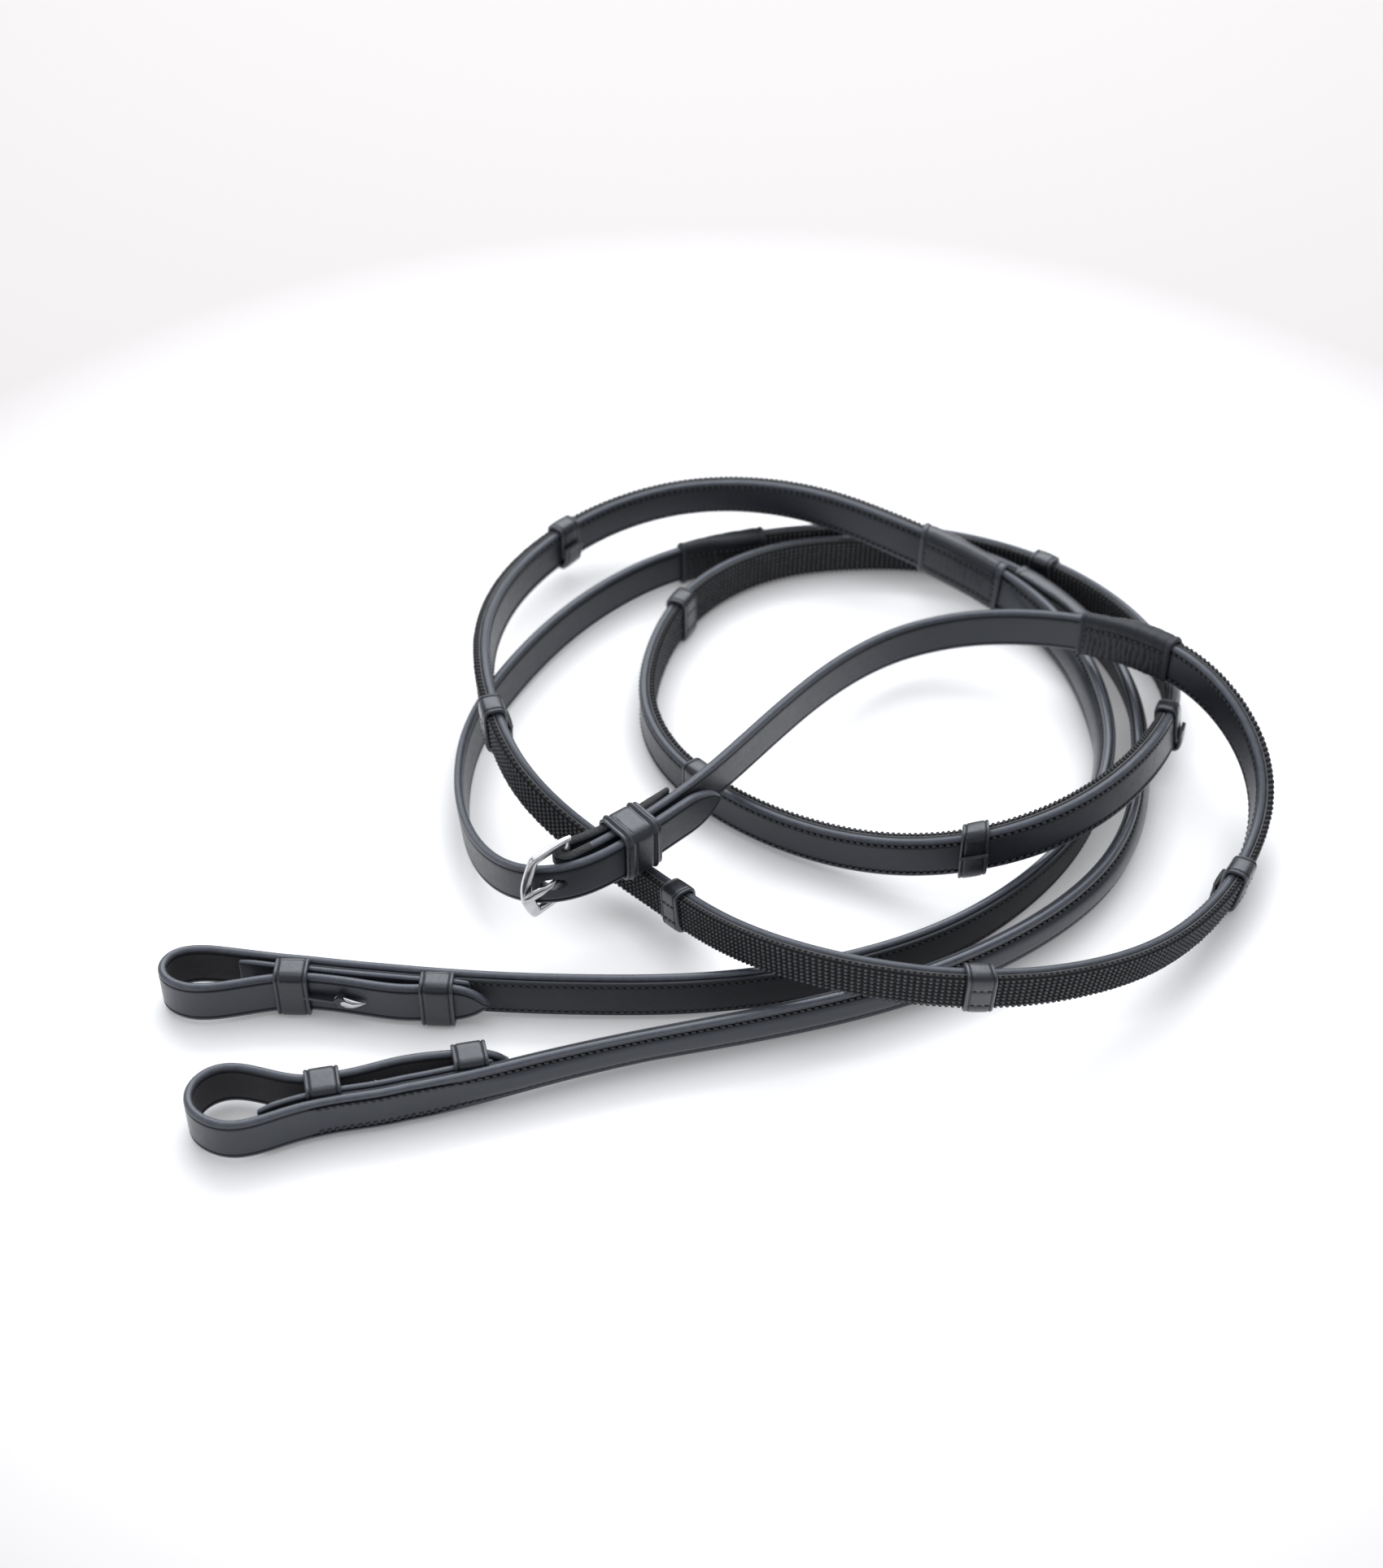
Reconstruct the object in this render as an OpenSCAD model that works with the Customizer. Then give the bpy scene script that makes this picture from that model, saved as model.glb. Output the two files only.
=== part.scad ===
// Pair of riding reins laid down in a double coil: two leather reins with
// rubber-faced hand grips and leather hand stops, joined by a centre buckle,
// each ending in a raised bit strap with a hook-stud billet.
// Millimetres, Z up, ground at z = 0. The straps stand on edge.

/* [Straps] */
// width of every strap
strap_w = 16; // [12:0.5:20]
// thickness of the plain hand straps
hand_t = 3.2; // [2.5:0.1:4.5]
// thickness of the leather on the grip
grip_t = 3; // [2:0.1:4]
// thickness of the rubber facing on the grip
rubber_t = 2.4; // [1.5:0.1:3.5]
// thickness of the raised bit leather at its edges
bit_t = 2.8; // [2:0.1:4]
// height of the raised centre of the bit leather
dome_h = 1.7; // [0:0.1:3]
// thickness of the lining stitched behind the bit leather
lining_t = 1.3; // [0.8:0.1:2]

/* [Stops and wraps] */
// length of one hand stop along the rein
stop_len = 9.6; // [8:1:18]
// thickness of the leather of stops, wraps and keepers
band_t = 1.35; // [1:0.05:2]

/* [Billets] */
// thickness of the safe between rein and billet flap
safe_t = 1.6; // [1:0.1:3]
// width of a keeper along the rein
keeper_w = 11; // [8:0.5:16]

/* [Buckle] */
// diameter of the buckle hinge bar
bar_d = 3; // [2:0.1:4]
// thickness of the buckle frame
frame_t = 2.6; // [2:0.1:4]
// outside height of the buckle frame
frame_h = 26; // [21:0.5:30]

/* [Hidden] */
$fn = 24;
clearance = 0.15;  // between neighbouring pieces
bevel = 0.8;       // on the strap edges
row_pitch = 30;    // nominal distance between two rows of a rein table
rein_step = 0.25;  // sampling of the rein curves, in rows
loop_step = 0.4;   // sampling of the loop curves, in rows
loop_z = 1.5;      // lower edge of the bit loops

hand_colour = [0.16, 0.16, 0.18];
leather_colour = [0.17, 0.17, 0.19];
rubber_colour = [0.1, 0.1, 0.11];
band_colour = [0.14, 0.14, 0.16];
wrap_colour = [0.15, 0.15, 0.17];
filler_colour = [0.5, 0.42, 0.3];
lining_colour = [0.18, 0.18, 0.2];
stud_colour = [0.8, 0.8, 0.82];
buckle_colour = [0.85, 0.85, 0.87];

// Where the reins lie. Each row is one control point of a smooth curve:
// x, y, height of the lower edge, lean in degrees. Rows are about 30 mm apart,
// from the hand end to the bit end.
rein_a = [
    [-83.5, -72.3, 14.5, 0],  // buckle end
    [-53.5, -64.3, 22.5, 0],
    [-29.5, -48.3, 26, 0],  // over the outer loop
    [-9.5, -23.3, 23.5, 0],
    [6.5, 3.7, 19, -2],  // hand strap descends
    [22.5, 30.7, 14, -2],
    [39.5, 55.7, 9.5, -2],
    [62.5, 77.7, 6.5, -1],
    [91.5, 83.7, 9.5, -1],  // hand wrap, over the inner loop
    [118.5, 72.7, 17.5, 0],
    [143.5, 54.7, 26, 0],
    [167.5, 33.7, 27, -1],
    [182.5, 7.7, 18.5, -2],  // right-hand side
    [185.5, -15.3, 8, -4],
    [177.5, -37.3, 1.5, -8],
    [161.5, -65.3, 4, -11],
    [140.5, -89.3, 9, -13],  // front, climbing over both bit ends
    [116.5, -105.3, 15, -12],
    [88.5, -114.3, 19, -9],
    [58.5, -117.3, 23.5, -8],
    [27.5, -114.3, 28, -8],  // over the bit ends
    [4.5, -97.3, 21.5, -6],
    [-11.5, -74.3, 10, -5],
    [-31.5, -45.3, 1.5, -4],  // under the buckle end
    [-54.5, -33.3, 11, -3],
    [-74.5, -18.3, 23.5, -2],  // over the point strap
    [-85.5, 15.7, 24.5, -2],
    [-89.5, 39.7, 24, -4],
    [-90.5, 66.7, 19.5, -6],  // left side
    [-85.5, 101.7, 11.5, -5],
    [-71.5, 132.7, 7, -2],
    [-48.5, 151.7, 10, 4],
    [-19.5, 157.7, 16, 8],  // far side
    [9.5, 153.7, 20, 7],
    [37.5, 144.7, 21, 1],  // over the point rein
    [63.5, 130.7, 18.5, -6],
    [90.5, 120.7, 11.5, -11],
    [115.5, 107.7, 3.5, -14],  // bit end, running back down
    [130.5, 81.7, 1.5, -13],
    [136.5, 51.7, 1.5, -12],
    [137.5, 21.7, 1.5, -9],
    [129.5, -8.3, 1.5, -6],
    [114.5, -34.3, 1.5, -3],
    [93.5, -57.3, 1.5, -1],
    [69.5, -75.3, 1.5, 1],  // bit end along the front
    [42.5, -87.3, 1.5, 2],
    [13.5, -95.3, 1.5, 1],
    [-16.5, -99.3, 1.5, 1],
    [-46.5, -99.3, 1.5, 1],
    [-76.5, -98.3, 1.5, 1],
    [-106.5, -95.3, 1.5, 2],  // billet
    [-136.5, -91.3, 1.5, 2],
    [-166.5, -87.3, 1.5, 3],
    [-196.5, -82.3, 1.5, 3],
];
rein_b = [
    [13.5, -4.3, 13.5, 0],  // point, beside the buckle strap
    [-7.5, -26.3, 21, 0],
    [-27.5, -53.3, 26.4, 0],
    [-51.5, -70.3, 21.9, 0],  // past the buckle
    [-77, -62.3, 13.9, 0],
    [-93.5, -29.8, 3, -4],
    [-98.5, 2.7, 1.5, -7],  // left side, on the ground
    [-95.5, 31.7, 2, -7],
    [-84.5, 59.7, 1.5, -7],
    [-69.5, 86.7, 1.5, -5],
    [-51.5, 109.7, 1.5, -2],
    [-28.5, 129.7, 1.5, 1],
    [-1.5, 141.7, 1.5, 3],  // far side
    [28.5, 148.7, 1.5, 5],
    [58.5, 150.7, 1.5, 5],
    [88.5, 145.7, 1.5, 5],
    [115.9, 134.3, 1.5, 5],
    [139.9, 115.1, 1.5, 6],  // right-hand side
    [157.5, 89.7, 1.5, 6],
    [165.5, 64.7, 1.5, 6],
    [162.5, 36.7, 6, 7],  // over both bit ends
    [149.5, -0.3, 22, 8],
    [132.5, -24.3, 23, 8],
    [107.5, -45.3, 23.5, 6],
    [79.5, -47.3, 14, 3],  // back on the ground
    [51.5, -39.3, 4.5, 1],
    [23.5, -28.3, 2, -1],
    [-2.5, -11.3, 1.5, -2],
    [-23.5, 11.7, 1.5, -1],  // inner loop, left
    [-33.5, 39.7, 1.5, 0],
    [-31.5, 69.7, 1.5, -1],
    [-22.5, 99.7, 1.5, -1],
    [-4.5, 123.7, 1.5, 1],  // inner loop, far side
    [21.5, 138.7, 1.5, 5],
    [52.5, 141.7, 1.5, 9],
    [83.9, 139.7, 1.5, 12],
    [111, 125.6, 1.5, 14],  // bit end, beside the other rein
    [131.3, 99.9, 1.5, 16],
    [144.4, 72.1, 1.5, 16],
    [148.5, 40.7, 1.5, 15],
    [145.5, 10.7, 1.5, 12],
    [140.5, -19.3, 1.5, 8],  // bit end, running down
    [127.5, -46.3, 1.5, 3],
    [106.5, -68.3, 1.5, -1],
    [82.5, -85.3, 1.5, -3],
    [55.5, -99.3, 1.5, -5],
    [26.5, -109.3, 1.5, -6],  // bit end along the front
    [-2.5, -117.3, 1.5, -8],
    [-31.5, -124.3, 1.5, -10],
    [-59.5, -132.3, 1.5, -11],
    [-88.5, -142.3, 1.5, -10],
    [-117.5, -149.3, 1.5, -7],  // billet
    [-146.5, -156.3, 1.5, -4],
    [-175.5, -163.3, 1.5, -1],
];
// Plan (x, y) of the two bit loops, control points about 9 mm apart:
// rein, loop, flap, point.
loop_a = [
    [-112, -95.3], [-121, -93.3], [-130, -92.3], [-139, -90.8], [-148.5, -89.8], [-157, -88.3],
    [-166.5, -86.8], [-175, -85.3], [-185.5, -86.8], [-188.5, -96.8], [-179.5, -103.3],
    [-170.5, -103.3], [-161.5, -101.3], [-153, -99.3], [-143.5, -97.8], [-134.5, -98.8],
    [-125.5, -100.3], [-116.5, -102.3], [-107.5, -103.8], [-98, -103.3], [-89, -103.3],
    [-80, -103.8], [-71, -106.3],
];
loop_b = [
    [-94.5, -142.3], [-103, -145.8], [-112, -148.3], [-121, -149.8], [-129.5, -151.8],
    [-138.5, -154.8], [-146.5, -158.8], [-155.5, -161.8], [-164.5, -158.8], [-171, -151.8],
    [-169.5, -141.8], [-161.5, -136.3], [-152, -137.8], [-143.5, -140.8], [-134.5, -142.8],
    [-125.5, -140.8], [-116.5, -138.3], [-108, -134.8], [-99, -132.8], [-90, -131.8],
    [-81, -130.8], [-72, -128.8], [-63.5, -125.8],
];

// Tables for both reins, indexed by A or B. Rubber and lining lie to the left
// of the travel on rein A (side 1); rein B is the mirror image (side -1).
A = 0;
B = 1;
reins = [rein_a, rein_b];
loops = [loop_a, loop_b];
sides = [1, -1];
// places along the rein curves, in rows
hand_end = [9.03, 10.9];
bit_start = [35.21, 35.91];
joint_gap = 0.04;            // between the grip and the straps at its ends
bit_join = [49.48, 49.5];    // where the plan of the bit loop takes over
join_gap = 0.15;             // the rein stations end this far before it
stop_places = [[13.45, 17.42, 21.32, 24.85, 29.3], [15.37, 19.4, 22.95, 26.5, 30.1]];
hand_wrap_span = [[8.45, 9.65], [10.35, 11.5]];
bit_wrap_span = [[34.45, 35.65], [35.2, 36.4]];
filler_inset = [1.8, 2.5];   // filler ends, from bit_start and from bit_join
rein_leg = [47, 50];         // stretch of the rein beside the outer keeper
// places along the loop curves, in rows
lining_end = [2.8, 3.4];
safe_end = [5.2, 5.4];
leather_end = [12.3, 12.95]; // the loop leather ends inside the inner keeper
flap_gap = 0.05;
flap_tip = 20;
keeper_places = [[12.8, 18.1], [13.5, 18.5]];  // inner, outer
stud_place = [14.75, 15.2];
loop_leg = [0, 7];           // first leg of the loop, beside the flap
// rein stations covered by the safe, and gap under the stud base in mm
safe_overlap = [5, 4];
stud_gap = [0.3, 0.6];

// distances across the rein from its curve
rubber_in = grip_t / 2 + 0.4;
rubber_out = rubber_in + rubber_t;
lining_in = bit_t / 2 + clearance;
safe_in = lining_in + lining_t + clearance;

// --- curve helpers -------------------------------------------------------
// cubic B-spline; u counts rows of the table
function weights(t) = [
    (1 - t) * (1 - t) * (1 - t),
    3 * t * t * t - 6 * t * t + 4,
    -3 * t * t * t + 3 * t * t + 3 * t + 1,
    t * t * t] / 6;
function spline(line, u) =
    let (k = min(max(floor(u), 0), len(line) - 4), w = weights(u - k))
    line[k] * w[0] + line[k + 1] * w[1] + line[k + 2] * w[2] + line[k + 3] * w[3];
function xy(p) = [p[0], p[1]];
function unit(v) = v / max(norm(v), 1e-6);
function left_of(v) = [-v[1], v[0]];
// plan direction from one place on a curve to another
function heading(line, from, to) = unit(xy(spline(line, to)) - xy(spline(line, from)));
function angle_of(v) = atan2(v[1], v[0]);
// place on a stretch of the curve that is nearest to a plan point
function nearest(line, point, stretch) =
    let (tries = [for (u = [stretch[0] : 0.05 : stretch[1]])
             [norm(xy(spline(line, u)) - point), u]],
         least = min([for (try = tries) try[0]]))
    [for (try = tries) if (try[0] <= least) try[1]][0];

// Stations for sweeping: x, y, height, lean, share of the dome.
function samples(line, from, to, step) =
    let (n = max(2, ceil((to - from) / step)))
    [for (i = [0 : n]) spline(line, from + (to - from) * i / n)];
function rein_stations(line, from, to, step = rein_step) =
    [for (p = samples(line, from, to, step)) concat(p, [0])];
function loop_stations(line, from, to) =
    [for (p = samples(line, from, to, loop_step)) upright(p, loop_z)];
function upright(p, z) = [p[0], p[1], z, 0, 0];

// --- sweeping ------------------------------------------------------------
// left-hand normal in plan at station i
function normal(stations, i) =
    left_of(unit(xy(stations[min(i + 1, len(stations) - 1)]) - xy(stations[max(i - 1, 0)])));
// one point of a section: w across (left +), h above the lower edge
function section_point(p, n, w, h) =
    let (across = w + (strap_w - h) * tan(p[3]))
    [p[0] + n[0] * across, p[1] + n[1] * across, p[2] + h];
function flip(faces) = [for (f = faces) [f[0], f[2], f[1]]];
// triangles joining rings of points; a ring repeats every stride points
function wall(rows, ring, stride) = [
    for (i = [0 : rows - 2]) for (j = [0 : ring - 1])
        let (a = i * stride + j, b = i * stride + (j + 1) % ring, c = a + stride, d = b + stride)
        each [[a, b, d], [a, d, c]]];
function shifted(faces, by) = [for (f = faces) f + [by, by, by]];

// Strip swept along stations. The faces are matching lists of [w, h, dome]
// from the lower edge to the upper; side = -1 swaps left and right.
module strip(stations, left_face, right_face, side = 1) {
    half = len(left_face);
    ring = 2 * half;
    rows = len(stations);
    section = concat(left_face, [for (j = [half - 1 : -1 : 0]) right_face[j]]);
    points = [for (i = [0 : rows - 1]) let (n = normal(stations, i)) for (q = section)
        section_point(stations[i], n, side * (q[0] + q[2] * stations[i][4]), q[1])];
    cap = [for (j = [0 : half - 2])
        each [[j, ring - 1 - j, ring - 2 - j], [j, ring - 2 - j, j + 1]]];
    faces = concat(wall(rows, ring, ring), cap, shifted(flip(cap), (rows - 1) * ring));
    polyhedron(points, side < 0 ? faces : flip(faces), convexity = 12);
}
// face that is the same above and below the middle of the strap
function symmetric(lower, middle = []) = concat(lower, middle,
    [for (i = [len(lower) - 1 : -1 : 0]) [lower[i][0], strap_w - lower[i][1], lower[i][2]]]);
function bevelled(w, inset) = symmetric([[w - inset, 0, 0], [w, bevel, 0]]);
// flat strap of the given thickness centred on the curve, edges bevelled
module strap(stations, thickness, side = 1)
    strip(stations, bevelled(thickness / 2, bevel), bevelled(-thickness / 2, -bevel), side);
// rectangular strip between distances w0 and w1, inset from both strap edges
module slab(stations, w0, w1, inset, side) {
    top = strap_w - inset;
    strip(stations, [[w1, inset, 0], [w1, top, 0]], [[w0, inset, 0], [w0, top, 0]], side);
}
// hollow sleeve between an outline and a window, matching lists of [w, h]
module tube(stations, outline, window, side) {
    ring = len(outline);
    rows = len(stations);
    points = [for (i = [0 : rows - 1]) let (n = normal(stations, i))
        for (q = concat(outline, window)) section_point(stations[i], n, side * q[0], q[1])];
    outside = wall(rows, ring, 2 * ring);
    cap = [for (j = [0 : ring - 1]) let (e = (j + 1) % ring)
        each [[j, j + ring, e + ring], [j, e + ring, e]]];
    faces = concat(outside, shifted(flip(outside), ring),
                   cap, shifted(flip(cap), 2 * (rows - 1) * ring));
    polyhedron(points, side > 0 ? faces : flip(faces), convexity = 8);
}
function box_outline(w0, w1, h0, h1) = [[w0, h0], [w0, h1], [w1, h1], [w1, h0]];

// frames on a curve: origin at the lower edge, X along the travel, Y to the left
module on_rein(line, u) {
    p = spline(line, u);
    translate([p[0], p[1], p[2]])
        rotate([0, 0, angle_of(heading(line, u - 0.05, u + 0.05))])
        rotate([p[3], 0, 0])
        translate([0, strap_w * tan(p[3]), 0]) children();
}
module on_loop(line, v) {
    p = spline(line, v);
    translate([p[0], p[1], loop_z])
        rotate([0, 0, angle_of(heading(line, v - 0.3, v + 0.3))]) children();
}
// children above the middle of the strap, and mirrored below it
module both_halves() for (m = [0, 1])
    translate([0, 0, strap_w / 2]) mirror([0, 0, m]) children();

// --- buckle position -----------------------------------------------------
buckle_end = spline(rein_a, 0);
buckle_dir = heading(rein_a, 0, 0.1);
fold_r = bar_d / 2 + clearance + hand_t / 2;  // centre of the strap round the bar
bar_xy = xy(buckle_end) + left_of(buckle_dir) * fold_r;
bar_z = buckle_end[2] + strap_w / 2;
limb_place = 2.62;       // on rein B, beside the front limb of the frame
limb_gap = 2.75;
limb_xy = xy(spline(rein_b, limb_place))
    + left_of(heading(rein_b, limb_place, limb_place + 0.1)) * (hand_t / 2 + frame_t / 2 + limb_gap);
limb_x = norm(limb_xy - bar_xy);     // bar to front limb
droop = 15;              // the buckle hangs a little at the front
// frame at the middle of the bar, X towards the front limb
module at_bar() translate([bar_xy[0], bar_xy[1], bar_z])
    rotate([0, 0, angle_of(limb_xy - bar_xy)]) children();

// --- hand straps ---------------------------------------------------------
// strap of the buckle rein with its end folded round the buckle bar
fold_len = 1.5;          // rows covered by the folded end
fold_steps = 12;
module hand_strap_a() color(hand_colour) {
    lap = hand_t + 2 * clearance;    // offset of the folded end from the strap
    folded = [for (i = [0 : fold_steps])
        let (u = fold_len * (1 - i / fold_steps), p = spline(rein_a, u),
             offset_y = lap + (2 * fold_r - lap) * pow(1 - u / fold_len, 3))
        upright(xy(p) + left_of(heading(rein_a, u, u + 0.05)) * offset_y, p[2])];
    turn = [for (k = [1 : 7]) let (g = k * 22.5)
        upright(bar_xy + fold_r * (cos(g) * left_of(buckle_dir) - sin(g) * buckle_dir),
                buckle_end[2])];
    difference() {
        strap(concat(folded, turn, rein_stations(rein_a, 0, hand_end[A])), hand_t);
        // slot that lets the tongue swing on the bar
        at_bar() translate([-4, -9, -3]) cube([14, 18, 6]);
    }
}
// strap of the point rein, with its point and the buckle hole
point_start = 0.15;
point_len = 8;           // straight run before point_start
module hand_strap_b() color(hand_colour) {
    p = spline(rein_b, point_start);
    dir = heading(rein_b, point_start, point_start + 0.1);
    straight = [for (k = [point_len : -2 : 1]) upright(xy(p) - dir * k, p[2] - 0.1 * k)];
    difference() {
        strap(concat(straight, rein_stations(rein_b, point_start, hand_end[B])), hand_t);
        on_rein(rein_b, point_start) translate([-point_len, 0, 0]) both_halves()
            translate([0, -5, 3]) rotate([0, 40, 0]) translate([-12, 0, 0]) cube([12, 10, 14]);
        at_bar() rotate([0, droop, 0]) translate([1, -3.2, -2]) cube([15, 9.5, 4]);
    }
}

// --- grips, stops and wraps ----------------------------------------------
function grip_stations(rein) =
    rein_stations(reins[rein], hand_end[rein] + joint_gap, bit_start[rein] - joint_gap);
module grip_leather(rein) color(leather_colour) strap(grip_stations(rein), grip_t, sides[rein]);
module grip_rubber(rein) color(rubber_colour)
    slab(grip_stations(rein), rubber_in, rubber_out, 0.5, sides[rein]);

// hand stop: a leather band round the grip, its end lapped on the leather side
lap_t = 1.1;
lap_low = -0.9;
lap_high = 9.1;
module stop(rein, number) color(band_colour) {
    u = stop_places[rein][number - 1];
    half_u = stop_len / 2 / row_pitch;
    w0 = -grip_t / 2 - 0.4;          // window, leather side
    w1 = rubber_out + 0.4;           // window, rubber side
    low = -clearance;
    high = strap_w + clearance;
    out0 = w0 - band_t;
    out1 = w1 + band_t;
    tube(rein_stations(reins[rein], u - half_u, u + half_u, 0.1),
         [[out0, low - band_t], [out0, lap_low], [out0 - lap_t, lap_low],
          [out0 - lap_t, lap_high], [out0, lap_high], [out0, high + band_t],
          [out1, high + band_t], [out1, low - band_t]],
         [[w0, low], [w0, 0.5], [w0, 1], [w0, 9], [w0, 9.2], [w0, high], [w1, high], [w1, low]],
         sides[rein]);
}
// leather wrap over one end of the grip; w0 is the leather side of its window
module wrap(rein, span, w0) color(wrap_colour) {
    w1 = rubber_out + 0.3;
    low = -0.1;
    high = strap_w + 0.1;
    tube(rein_stations(reins[rein], span[0], span[1], rein_step / 2),
         box_outline(w0 - band_t, w1 + band_t, low - band_t, high + band_t),
         box_outline(w0, w1, low, high), sides[rein]);
}
module hand_wrap(rein) wrap(rein, hand_wrap_span[rein], -hand_t / 2 - 0.25);
module bit_wrap(rein) wrap(rein, bit_wrap_span[rein], -bit_t / 2 - 0.35);

// --- bit ends ------------------------------------------------------------
function bit_rein_part(rein) =
    rein_stations(reins[rein], bit_start[rein], bit_join[rein] - join_gap);
// Stations of the bit end and on round the loop. The raised centre starts past
// the wrap; the lean and the raised centre die away before the loop.
function bit_stations(rein, loop_to) =
    let (rein_part = bit_rein_part(rein), n = len(rein_part),
         all = concat(rein_part, loop_stations(loops[rein], 0, loop_to)))
    [for (i = [0 : len(all) - 1]) let (s = all[i])
        [s[0], s[1], s[2], s[3] * min(1, max(0, (n - i) / 10)),
         max(0, min(1, (i - 3) / 4, (n - i) / 8))]];

// raised leather of the bit end; it runs on round the bit loop
module bit_strap(rein) color(leather_colour) {
    front = bit_t / 2;
    back = -front;
    strip(bit_stations(rein, leather_end[rein]),
          symmetric([[front - bevel, 0, 0], [front, bevel, 0],
                     [front, 3.2, 0.1 * dome_h], [front, 5.4, 0.75 * dome_h]],
                    [[front, strap_w / 2, dome_h]]),
          symmetric([[back + 0.3, 0, 0], [back, 0.3, 0],
                     [back, 3.4, 0], [back, 5.6, 0.6 * dome_h]],
                    [[back, strap_w / 2, 0.8 * dome_h]]),
          -sides[rein]);
}
// filler under the raised centre
module bit_filler(rein) color(filler_colour) {
    edge = -bit_t / 2 - 0.1;
    crown = edge - 0.05;
    path = rein_stations(reins[rein], bit_start[rein] + filler_inset[0],
                         bit_join[rein] - filler_inset[1]);
    strip([for (s = path) [s[0], s[1], s[2], s[3], 1]],
          symmetric([[edge, 5, 0.1 * dome_h], [crown, 6, 0.6 * dome_h]],
                    [[crown, strap_w / 2, 0.75 * dome_h]]),
          symmetric([[edge, 5, 0], [edge, 6, 0]], [[edge, strap_w / 2, 0]]),
          -sides[rein]);
}
// lining, with pockets for the ends of the keepers
module bit_lining(rein) difference() {
    color(lining_colour) slab(bit_stations(rein, lining_end[rein]),
                              lining_in, lining_in + lining_t, 0.3, sides[rein]);
    pocket(rein, outer = false);
    pocket(rein, outer = true);
}
module safe(rein) color(wrap_colour) {
    all = bit_stations(rein, safe_end[rein]);
    first = len(bit_rein_part(rein)) - safe_overlap[rein];
    slab([for (i = [first : len(all) - 1]) all[i]], safe_in, safe_in + safe_t, 0.6, sides[rein]);
}

// --- billets: flap, keepers, hook stud -----------------------------------
slot_len = 14;
module flap(rein) color(leather_colour) {
    line = loops[rein];
    difference() {
        strap(loop_stations(line, leather_end[rein] + flap_gap, flap_tip), bit_t);
        // pointed tip
        on_loop(line, flap_tip) both_halves()
            translate([0, -6, 2.5]) rotate([0, -45, 0]) cube([14, 12, 14]);
        // stud hole and the slot behind it
        on_loop(line, stud_place[rein]) {
            translate([0, 5, strap_w / 2]) rotate([90, 0, 0]) cylinder(d = 4.4, h = 10);
            translate([-slot_len, -5, strap_w / 2 - 1.6]) cube([slot_len, 10, 3.2]);
        }
    }
}

// plan point on the leather beside a keeper, distance to the flap, angle
function keeper_seat(rein, outer) =
    let (flap_line = loops[rein], v = keeper_places[rein][outer ? 1 : 0],
         line = outer ? reins[rein] : flap_line, p = xy(spline(flap_line, v)),
         u = nearest(line, p, outer ? rein_leg : loop_leg), m = xy(spline(line, u)))
    [m, norm(p - m),
     angle_of(heading(flap_line, v - 0.3, v + 0.3) + heading(line, u + 0.1, u - 0.1))];
// frame at a keeper, Y from the leather beside it to the flap
module at_keeper(rein, seat) translate([seat[0][0], seat[0][1], loop_z])
    rotate([0, 0, seat[2]]) mirror([0, sides[rein] > 0 ? 1 : 0, 0]) children();
// keeper round the flap and the safe, its upper end tucked in beside the leather
module keeper(rein, outer) color(band_colour) {
    seat = keeper_seat(rein, outer);
    inside = seat[1] + bit_t / 2 + 1.1;     // inside of the wall over the flap
    outside = inside + band_t;
    low = -clearance;
    high = strap_w + clearance;
    bottom = low - band_t;
    top = high + band_t;
    at_keeper(rein, seat) {
        translate([-keeper_w / 2, 0, 0]) rotate([90, 0, 90]) linear_extrude(keeper_w)
            polygon([[3.2, bottom], [outside - 0.5, bottom], [outside, bottom + 0.5],
                     [outside, top - 0.6], [outside - 0.6, top], [2.2, top],
                     [2.2, high], [inside, high], [inside, low], [3.2, low]]);
        // tucked end
        translate([-2.2, 1.9, strap_w - 2.6]) cube([4.4, 0.85, 3.2]);
    }
}
module pocket(rein, outer) at_keeper(rein, keeper_seat(rein, outer))
    translate([-3.5, 0.2, strap_w - 2.9]) cube([7, 4, 5]);

// hook stud: round base on the safe, neck, and a teardrop head lying along the flap
module hook_stud(rein) color(stud_colour) {
    line = loops[rein];
    p = xy(spline(line, stud_place[rein]));
    m = xy(spline(line, nearest(line, p, loop_leg)));
    depth = norm(p - m) - safe_in - safe_t - stud_gap[rein];   // flap curve to base
    // z runs outward through the flap from the curve
    on_loop(line, stud_place[rein]) mirror([0, sides[rein] > 0 ? 0 : 1, 0])
        translate([0, 0, strap_w / 2]) rotate([90, 0, 0]) {
            translate([0, 0, -depth]) cylinder(d = 7, h = 0.5);
            translate([0, 0, -depth]) cylinder(d = 2.6, h = depth + bit_t / 2 + 1.2);
            translate([0, 0, bit_t / 2 + 0.3]) linear_extrude(1.9)
                polygon([[-1.9, -1.1], [-1, -1.9], [1, -2.1], [4, -1.9], [7.5, -0.9],
                         [8.6, 0.2], [7.5, 0.9], [3, 1.7], [0, 2], [-1.6, 1.3]]);
        }
}

// --- centre buckle -------------------------------------------------------
function drooped(points) = [for (p = points) [p[0], p[1] - p[0] * tan(droop)]];
module buckle_frame() color(buckle_colour) at_bar() {
    top = frame_h / 2;
    rotate([90, 0, 0]) linear_extrude(frame_t, center = true) difference() {
        polygon(drooped([
            [-1.6, -top + 1.6], [3, -top], [limb_x - 4.5, -top + 0.7], [limb_x + 0.2, -6.5],
            [limb_x + 1.3, 0],
            [limb_x + 0.2, 6.5], [limb_x - 4.5, top - 0.7], [3, top], [-1.6, top - 1.6]]));
        polygon(drooped([
            [-3, -top + 3], [2.5, -top + 2.3], [limb_x - 5.3, -top + 2.6], [limb_x - 2.4, -5.6],
            [limb_x - 1.4, 0],
            [limb_x - 2.4, 5.6], [limb_x - 5.3, top - 3.1], [2.5, top - 2.8], [-3, top - 3]]));
    }
    cylinder(d = bar_d, h = frame_h - 4, center = true);
}
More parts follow.
